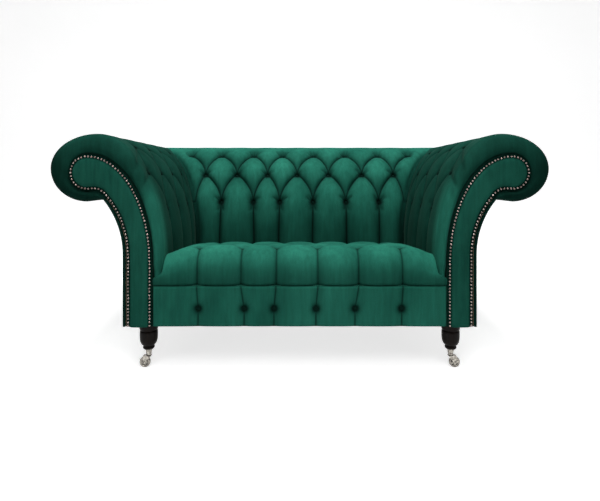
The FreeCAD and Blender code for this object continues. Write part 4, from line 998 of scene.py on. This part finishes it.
def seat_grid(sheet, depth):
    """Points of the seat with the ears that its nose spreads in front of the arms."""
    runs = sheet.runs
    seam = SEAM_ROUND * np.exp(-(SEAT_ALONG / SEAM_ROUND) ** 2)[:, None]
    y = SEAT_DEPTH[:, None] - SEAT_NORMAL_IN[:, None] * (depth + seam)
    z = SEAT_UP[:, None] - SEAT_NORMAL_UP[:, None] * depth
    drop = END_DROP * (1 - ease(SEAT_END - np.abs(runs), -0.02, END_REACH)) ** 1.5
    raised = ease(SEAT_UP, SEAM + 0.01, NOSE_HEIGHT + 0.03)
    raised = raised * (1 - 0.6 * ease(SEAT_DEPTH, FIRST_ROW, FIRST_ROW + 0.30))
    z = z - drop * raised[:, None]
    surface = np.stack([np.broadcast_to(runs, y.shape), y, z], -1)
    reach = EAR_REACH * (1 - ease(SEAT_UP, SEAM + 0.02, EAR_TOP)) ** 0.8 * (SEAT_DEPTH < FIRST_ROW)
    share = np.linspace(0, 1, EAR_COLUMNS)[1:]
    fall = (1 - np.cos(np.arcsin(share))) * ((reach > LEAST_EAR) * ease(reach, 0, 0.012))[:, None]
    ears = []
    for end, way in ((surface[:, :1], -1), (surface[:, -1:], 1)):
        ear = np.repeat(end, len(share), 1)
        ear[..., 0] += way * reach[:, None] * share
        ear[..., 1] += (FACING_BACK - end[..., 1]) * fall
        ears.append(ear)
    surface = np.concatenate([ears[0][:, ::-1], surface, ears[1]], 1)
    core = []
    for place, limit in ((BACK_FACE - SEAT_REAR_GAP, SEAT_END), (FACING_BACK, BORDER_END)):
        edge = np.clip(surface[0, :, 0], -limit, limit)
        core.append(np.stack([edge, np.full_like(edge, place), np.full_like(edge, SEAM + 0.0005)], -1))
    return np.concatenate([surface, np.stack(core)])


def seat_painted_shade(shade, shape):
    """Painted shade of the seat's closed grid, darker low down and dark at its seam."""
    seam = SEAM_SHADE * np.exp(-(SEAT_ALONG / SEAM_ROUND) ** 2)[:, None]
    low = SEAT_LOW_SHADE * (1 - ease(SEAT_UP, SEAM, SEAT_CROWN))[:, None]
    shade = np.maximum(overlaid(shade, low), seam)
    return filled(np.pad(shade, ((0, 0), (EAR_COLUMNS - 1, EAR_COLUMNS - 1)), mode="edge"), shape)


seat, seat_rows = seat_sheet()
seat_depth, seat_shade = seat.settle(SEAT_TUFT)
seat_points = seat_grid(seat, seat_depth)
seat_pad = skin("seat_padding", seat_points, seat_painted_shade(seat_shade, seat_points.shape[:2]))
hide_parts("seat_pad")


buttons = covered_buttons("seat_covered_buttons", pit_places(seat, seat_depth, seat_rows, SEAT_SECTION, 0.0))
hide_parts("seat_buttons")


# Border under the seat
BORDER_FRONT = NAIL_FACE
BORDER_TUFT = 0.006
BORDER_RELIEF = 0.5
# Painted shade of the border: in its creases and valleys, over the whole face, and at its edges
BORDER_CREASE_SHADE = 0.95
BORDER_VALLEY = 0.25
BORDER_SHADE = 0.30
BORDER_SHIFTS = (9, 25, -18, -17, -26, -8)
BORDER_ROUND = 0.008
BORDER_SOFTNESS = 0.030


def border_sheet():
    """Stuffing of the border over a sheet of X values and heights."""
    lines = np.arange(UNDERSIDE, SEAM + STEP / 2, STEP)
    sheet = Stuffing(np.arange(-BORDER_END, BORDER_END + STEP, STEP), lines, BORDER_RELIEF, BORDER_CREASE_SHADE,
                     BORDER_VALLEY, BORDER_SOFTNESS)
    marks = sorted(button_places("border_buttons"), key=lambda place: place[0][0])
    marks = [(foot[0] + shift * MM, foot[2]) for (foot, _), shift in zip(marks, BORDER_SHIFTS)]
    tops = [run + shift * MM for (run, _), shift in zip(marks, np.subtract(SEAT_SHIFTS, BORDER_SHIFTS))]
    for (run, line), top in zip(marks, tops):
        sheet.button(run, line, fan=0.2)
        sheet.pleat([(top, SEAM + STEP), (run, line), (run, UNDERSIDE - STEP)], 0.9)
    return sheet, marks


def border_margins(sheet):
    """Distances of a sheet's points from its long edges and from the border's ends."""
    to_edge = np.minimum(sheet.lines - sheet.lines[0], sheet.lines[-1] - sheet.lines)
    return to_edge[:, None], (BORDER_END - np.abs(sheet.runs))[None, :]


def curled(margin):
    """Depth of a rounded edge at a distance from it."""
    return BORDER_ROUND * (1 - np.sqrt(1 - (1 - np.clip(margin / BORDER_ROUND, 0, 1)) ** 2))


def border_grid(sheet, depth):
    """Points of the border: its front with rounded edges, closed by its flat back."""
    to_edge, to_end = border_margins(sheet)
    curl = curled(to_edge) + curled(to_end)
    y = BORDER_FRONT + np.minimum(depth + curl, FACING_BACK - BORDER_FRONT - 0.0005)
    x = np.clip(sheet.runs, -BORDER_END, BORDER_END)
    surface = np.stack(np.broadcast_arrays(x, y, sheet.lines[:, None]), -1)
    flat = surface[[-1, 0]].copy()
    flat[..., 1] = FACING_BACK
    return np.concatenate([surface, flat])


def border_painted_shade(sheet, shade, shape):
    """Painted shade of the border's closed grid, dark at its seam, its ends and its lower edge."""
    to_edge, to_end = border_margins(sheet)
    edge = SEAM_SHADE * np.maximum(1 - ease(to_edge, 0, 0.006), 1 - ease(to_end, 0, 0.010))
    return filled(np.maximum(overlaid(shade, BORDER_SHADE), edge), shape)


border, border_marks = border_sheet()
border_depth, border_shade = border.settle(BORDER_TUFT)
border_points = border_grid(border, border_depth)
border_shades = border_painted_shade(border, border_shade, border_points.shape[:2])
border_pad = skin("border_padding", border_points, border_shades)
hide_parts("front_border")
border_places = [((run, BORDER_FRONT + sample(border, border_depth, run, line) - BUTTON_LIFT, line), (0, -1, 0))
                 for run, line in border_marks]
buttons = covered_buttons("border_covered_buttons", border_places, BORDER_BUTTON)
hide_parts("border_buttons")


# Outer panels
PANEL_EDGE = FRONT + 0.006
PANEL_ROWS = 70
PANEL_COLUMNS = 60
EDGE_STEPS = 7
PANEL_PADDING = 0.003
# Painted shade over the outer panels, darker at the front edge beside the nails
PANEL_SHADE = 0.30
PANEL_LIP_SHADE = 0.90


def panel_line():
    """Outer face of a panel from the base up under the roll: offsets, heights and outward normals."""
    foot = BASE_OUT + PANEL_THICKNESS + PANEL_PADDING
    radius = PANEL_RADIUS - PANEL_PADDING
    centre = (foot + radius, PANEL_STRAIGHT)
    top = math.asin((CREASE[1] - PANEL_STRAIGHT) / radius)
    turns = np.linspace(0, top, PANEL_ROWS // 2)
    out = np.concatenate([np.full(PANEL_ROWS // 2, foot), centre[0] - radius * np.cos(turns[1:])])
    up = np.concatenate([np.linspace(UNDERSIDE, PANEL_STRAIGHT, PANEL_ROWS // 2),
                         PANEL_STRAIGHT + radius * np.sin(turns[1:])])
    tilt = np.concatenate([np.zeros(PANEL_ROWS // 2), turns[1:]])
    return out, up, np.cos(tilt), -np.sin(tilt)


def panel_section(low, high, rounded_low):
    """Runs and depths round a panel's thickness at one height, from its inner face to its outer."""
    thickness = PANEL_THICKNESS + PANEL_PADDING
    half = thickness / 2
    turns = np.linspace(-QUARTER, QUARTER, EDGE_STEPS)
    round_in = half if rounded_low else 0.0
    edge = [(low + round_in * (1 - math.cos(t)), half - half * math.sin(t)) for t in turns]
    runs = np.linspace(low + half, high, PANEL_COLUMNS)
    return edge + [(run, 0.0) for run in runs] + [(high, thickness)]


def panel_grid(along_back):
    """Points of an outer panel, once round its thickness and up its height."""
    out, up, normal_out, normal_up = panel_line()
    rows = []
    for place, height, lean, drop in zip(out, up, normal_out, normal_up):
        if along_back:
            low, high = -(HALF_WIDTH + place), HALF_WIDTH + place
        else:
            low, high = PANEL_EDGE, BACK_FACE + place
        section = panel_section(low, high, not along_back)
        ring = []
        for run, depth in section:
            offset, level = place - lean * depth, height - drop * depth
            if along_back:
                run = math.copysign(min(abs(run), HALF_WIDTH + offset), run)
                ring.append((run, BACK_FACE + offset, level))
            else:
                ring.append((HALF_WIDTH + offset, min(run, BACK_FACE + offset), level))
        rows.append(ring)
    return np.array(rows).transpose(1, 0, 2)


def panel_painted_shade(grid, along_back):
    """Painted shade of an outer panel, dark at the front edge beside the nails."""
    if along_back:
        return np.full(grid.shape[:2], PANEL_SHADE)
    open_share = ease(grid[..., 1], PANEL_EDGE + 0.010, PANEL_EDGE + 0.030)
    return PANEL_LIP_SHADE - (PANEL_LIP_SHADE - PANEL_SHADE) * open_share


for name, node, along_back, flip in (("outer_arm_cover_right", "outer_arm_panel_right", False, False),
                                     ("outer_arm_cover_left", "outer_arm_panel_left", False, True),
                                     ("outer_back_cover", "outer_back_panel", True, False)):
    grid = panel_grid(along_back)
    cover = skin(name, mirrored(grid) if flip else grid, panel_painted_shade(grid, along_back))
    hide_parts(node)


# Front legs, turned in dark wood, and the cups of their castors
LEG_WOOD = mottled("leg_wood", (0.0022, 0.0014, 0.0011), (0.0060, 0.0036, 0.0026),
                   {"scale": 60.0, "detail": 6.0, "stretch": (1, 1, 0.08), "rough": 0.65},
                   relief=(0.08, 0.0005), Roughness=0.30, Specular_IOR_Level=0.03, Coat_Weight=0.05,
                   Coat_Roughness=0.06)
CASTOR_METAL = metal("castor_metal", (0.38, 0.36, 0.32), (0.09, 0.08, 0.07), 0.16, 160.0)
LEG_LOW, LEG_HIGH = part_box("front_leg_right")
LEG_X, LEG_Y = (LEG_LOW.x + LEG_HIGH.x) / 2, (LEG_LOW.y + LEG_HIGH.y) / 2
LEG_SIDES = 64
LEG_PROFILE = (
    (0.0140, 0.0702), (0.0185, 0.0705), (0.0205, 0.0730), (0.0215, 0.0765), (0.0205, 0.0800),
    (0.0190, 0.0825), (0.0215, 0.0850), (0.0255, 0.0880), (0.0290, 0.0940), (0.0312, 0.1010),
    (0.0322, 0.1080), (0.0327, 0.1160), (0.0328, 0.1250), (0.0326, 0.1340), (0.0322, 0.1380),
    (0.0308, 0.1395), (0.0305, 0.1415), (0.0312, 0.1432), (0.0331, 0.1445), (0.0335, 0.1480),
    (0.0335, 0.1600), (0.0335, LEG_HIGH.z),
)
CUP_PROFILE = (
    (0.0040, 0.0445), (0.0080, 0.0445), (0.0090, 0.0455), (0.0094, 0.0480), (0.0100, 0.0520),
    (0.0112, 0.0590), (0.0126, 0.0650), (0.0135, 0.0670), (0.0145, 0.0680), (0.0147, 0.0695),
    (0.0143, 0.0703), (0.0130, 0.0703),
)


def leg_place(side):
    """Axis of a right-hand or left-hand leg, standing on the floor."""
    return (LEG_X if side == "right" else -LEG_X, LEG_Y, 0.0), (0, 0, 1)


for side in SIDES:
    leg = repeated(f"turned_leg_{side}", LEG_PROFILE, [leg_place(side)], LEG_SIDES, LEG_WOOD)
    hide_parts(f"front_leg_{side}")
for side in SIDES:
    cup = repeated(f"castor_ferrule_{side}", CUP_PROFILE, [leg_place(side)], LEG_SIDES, CASTOR_METAL)
    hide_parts(f"castor_cup_{side}")


# Castor wheels; the form is in shares of the wheel's radius and half width
WHEEL_FORM = (
    (0.10, -0.98), (0.28, -0.98), (0.32, -0.62), (0.60, -0.50), (0.68, -0.88), (0.76, -0.96), (0.92, -0.96),
    (1.00, -0.62), (1.00, 0.62), (0.92, 0.96), (0.76, 0.96), (0.68, 0.88), (0.60, 0.50), (0.32, 0.62),
    (0.28, 0.98), (0.10, 0.98),
)
WHEEL_SIDES = 48
HOLE_FORM = ((1.0, -0.0004), (1.0, 0.0002), (0.8, 0.0004))
HOLE_SIDES = 16
HOLE_RING = 0.47
HOLE_LEVEL = 0.53
HOLE_RADIUS = 0.105
HOLE_COUNT = 5
HOLE_TURN = 0.4


def wheel_size(side):
    """Centre, radius and half width of a castor's wheel, whose axle lies along Y."""
    low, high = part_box(f"castor_wheel_{side}")
    return (np.array(low) + np.array(high)) / 2, (high.z - low.z) / 2, (high.y - low.y) / 2


def hole_places(centre, radius, half):
    """Places of the dark discs on both faces of a wheel, painted shade of its holes."""
    ring = HOLE_RING * radius
    places = []
    for turn in np.linspace(0, 2 * math.pi, HOLE_COUNT, endpoint=False) + HOLE_TURN:
        for way in (-1, 1):
            shift = (ring * math.cos(turn), way * HOLE_LEVEL * half, ring * math.sin(turn))
            places.append((centre + shift, (0, way, 0)))
    return places


# Near-black material of the hole discs: painted shade
HOLE_SHADE = metal("recess", (0.02, 0.02, 0.02), (0.008, 0.008, 0.008), 0.6, 200.0)
for side in SIDES:
    centre, radius, half = wheel_size(side)
    form = [(across * radius, along * half) for across, along in WHEEL_FORM]
    wheel = repeated(f"castor_disc_{side}", form, [(centre, (0, 1, 0))], WHEEL_SIDES, CASTOR_METAL,
                     f"wheel_{side}")
    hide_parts(f"castor_wheel_{side}")
    hole = [(HOLE_RADIUS * radius * across, up) for across, up in HOLE_FORM]
    repeated(f"castor_holes_{side}", hole, hole_places(centre, radius, half), HOLE_SIDES, HOLE_SHADE,
             f"wheel_{side}")


# Materials of the pieces that stay as they are
def plain(name, colour, rough, scale, stretch=(1, 1, 1), metallic=0.0):
    """Material of a hidden or small piece, with mottled tone and a fine surface."""
    dark = tuple(0.7 * part for part in colour)
    grain = {"scale": scale, "detail": 5.0, "stretch": stretch, "rough": 0.6}
    return mottled(name, dark, colour, grain, Roughness=rough, Metallic=metallic)


FRAME_WOOD = plain("frame_wood", (0.42, 0.29, 0.17), 0.6, 50.0, stretch=(0.1, 1, 1))
HESSIAN = plain("hessian", (0.36, 0.27, 0.16), 0.95, 500.0)
FELT = plain("felt", (0.30, 0.29, 0.27), 0.98, 300.0)
SPRING_STEEL = plain("spring_steel", (0.35, 0.35, 0.36), 0.35, 120.0, metallic=1.0)
BLACK_CLOTH = plain("black_cloth", (0.012, 0.012, 0.013), 0.95, 600.0)
for finish, names in (
        (FRAME_WOOD, ("front_rail", "rear_rail", "side_rail_left", "side_rail_right", "centre_rail",
                      "corner_blocks", "arm_boards_left", "arm_boards_right", "back_boards",
                      "arm_top_rail_left", "arm_top_rail_right", "back_top_rail", "arm_tack_rail_left",
                      "arm_tack_rail_right", "back_tack_rail")),
        (HESSIAN, ("arm_hessian_left", "arm_hessian_right", "back_hessian")),
        (FELT, ("seat_deck",)),
        (SPRING_STEEL, ("zigzag_springs", "spring_clips", "leg_bolts")),
        (BLACK_CLOTH, ("dust_cover",)),
        (LEG_WOOD, ("rear_leg_left", "rear_leg_right")),
        (CASTOR_METAL, ("castor_horn_left", "castor_horn_right", "castor_axle_left", "castor_axle_right"))):
    for name in names:
        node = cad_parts[name]
        node.data.materials.clear()
        node.data.materials.append(finish)


# Floor, backdrop and lights
FLOOR_SHEEN = 0.72
FLOOR_NEAR = -5.0
FLOOR_HALF_WIDTH = 9.0
SWEEP_START = 3.0
SWEEP_RADIUS = 2.0
BACKDROP_TOP = 8.0


def stage_material():
    """Pale floor that the camera, glossy and clear surfaces see lifted towards white."""
    material, tree, shader = new_material("stage")
    adjust(shader, Base_Color=(0.80, 0.80, 0.80, 1), Roughness=0.9, Emission_Color=(1, 1, 1, 1))
    path = add_node(tree, "ShaderNodeLightPath")
    seen = path.outputs["Is Camera Ray"]
    for ray in ("Is Glossy Ray", "Is Transmission Ray"):
        either = add_node(tree, "ShaderNodeMath", operation="MAXIMUM")
        tree.links.new(seen, either.inputs[0])
        tree.links.new(path.outputs[ray], either.inputs[1])
        seen = either.outputs[0]
    lift = add_node(tree, "ShaderNodeMath", operation="MULTIPLY")
    tree.links.new(seen, lift.inputs[0])
    lift.inputs[1].default_value = FLOOR_SHEEN
    tree.links.new(lift.outputs[0], shader.inputs["Emission Strength"])
    return material


def add_stage():
    """Floor that sweeps up behind the sofa."""
    sweep = arc_points((SWEEP_START, SWEEP_RADIUS), SWEEP_RADIUS, -QUARTER, 0, 24)
    profile = [(FLOOR_NEAR, 0.0), *sweep, (SWEEP_START + SWEEP_RADIUS, BACKDROP_TOP)]
    points = [(x, y, z) for y, z in profile for x in (-FLOOR_HALF_WIDTH, FLOOR_HALF_WIDTH)]
    mesh = bpy.data.meshes.new("backdrop")
    mesh.from_pydata(points, [], [(2 * i, 2 * i + 1, 2 * i + 3, 2 * i + 2) for i in range(len(profile) - 1)])
    mesh.polygons.foreach_set("use_smooth", [True] * len(mesh.polygons))
    mesh.materials.append(stage_material())
    backdrop = new_object("backdrop", mesh)


def add_light(name, place, target, size, power):
    """Square softbox that looks at a target."""
    data = bpy.data.lights.new(name, "AREA")
    data.size = size
    data.energy = power
    light = new_object(name, data)
    light.location = place
    light.rotation_euler = (Vector(target) - Vector(place)).to_track_quat("-Z", "Y").to_euler()


def add_world():
    """Soft even light all round, white where the camera or a reflection sees it."""
    world = bpy.data.worlds.new("studio")
    world.use_nodes = True
    adjust(world.node_tree.nodes["Background"], Color=(1, 1, 1, 1), Strength=0.14)
    bpy.context.scene.world = world


add_stage()
add_world()
add_light("key", (0, -3.2, 3.6), (0, 0, 0.5), 1.8, 62)
add_light("left_fill", (-2.4, -3.2, 1.5), (0, 0, 0.5), 1.6, 9)
add_light("right_fill", (2.4, -3.2, 1.5), (0, 0, 0.5), 1.6, 9)
add_light("top", (0, -0.7, 3.4), (0, -0.2, 0.5), 1.8, 160)
bpy.context.scene.view_settings.view_transform = "Standard"
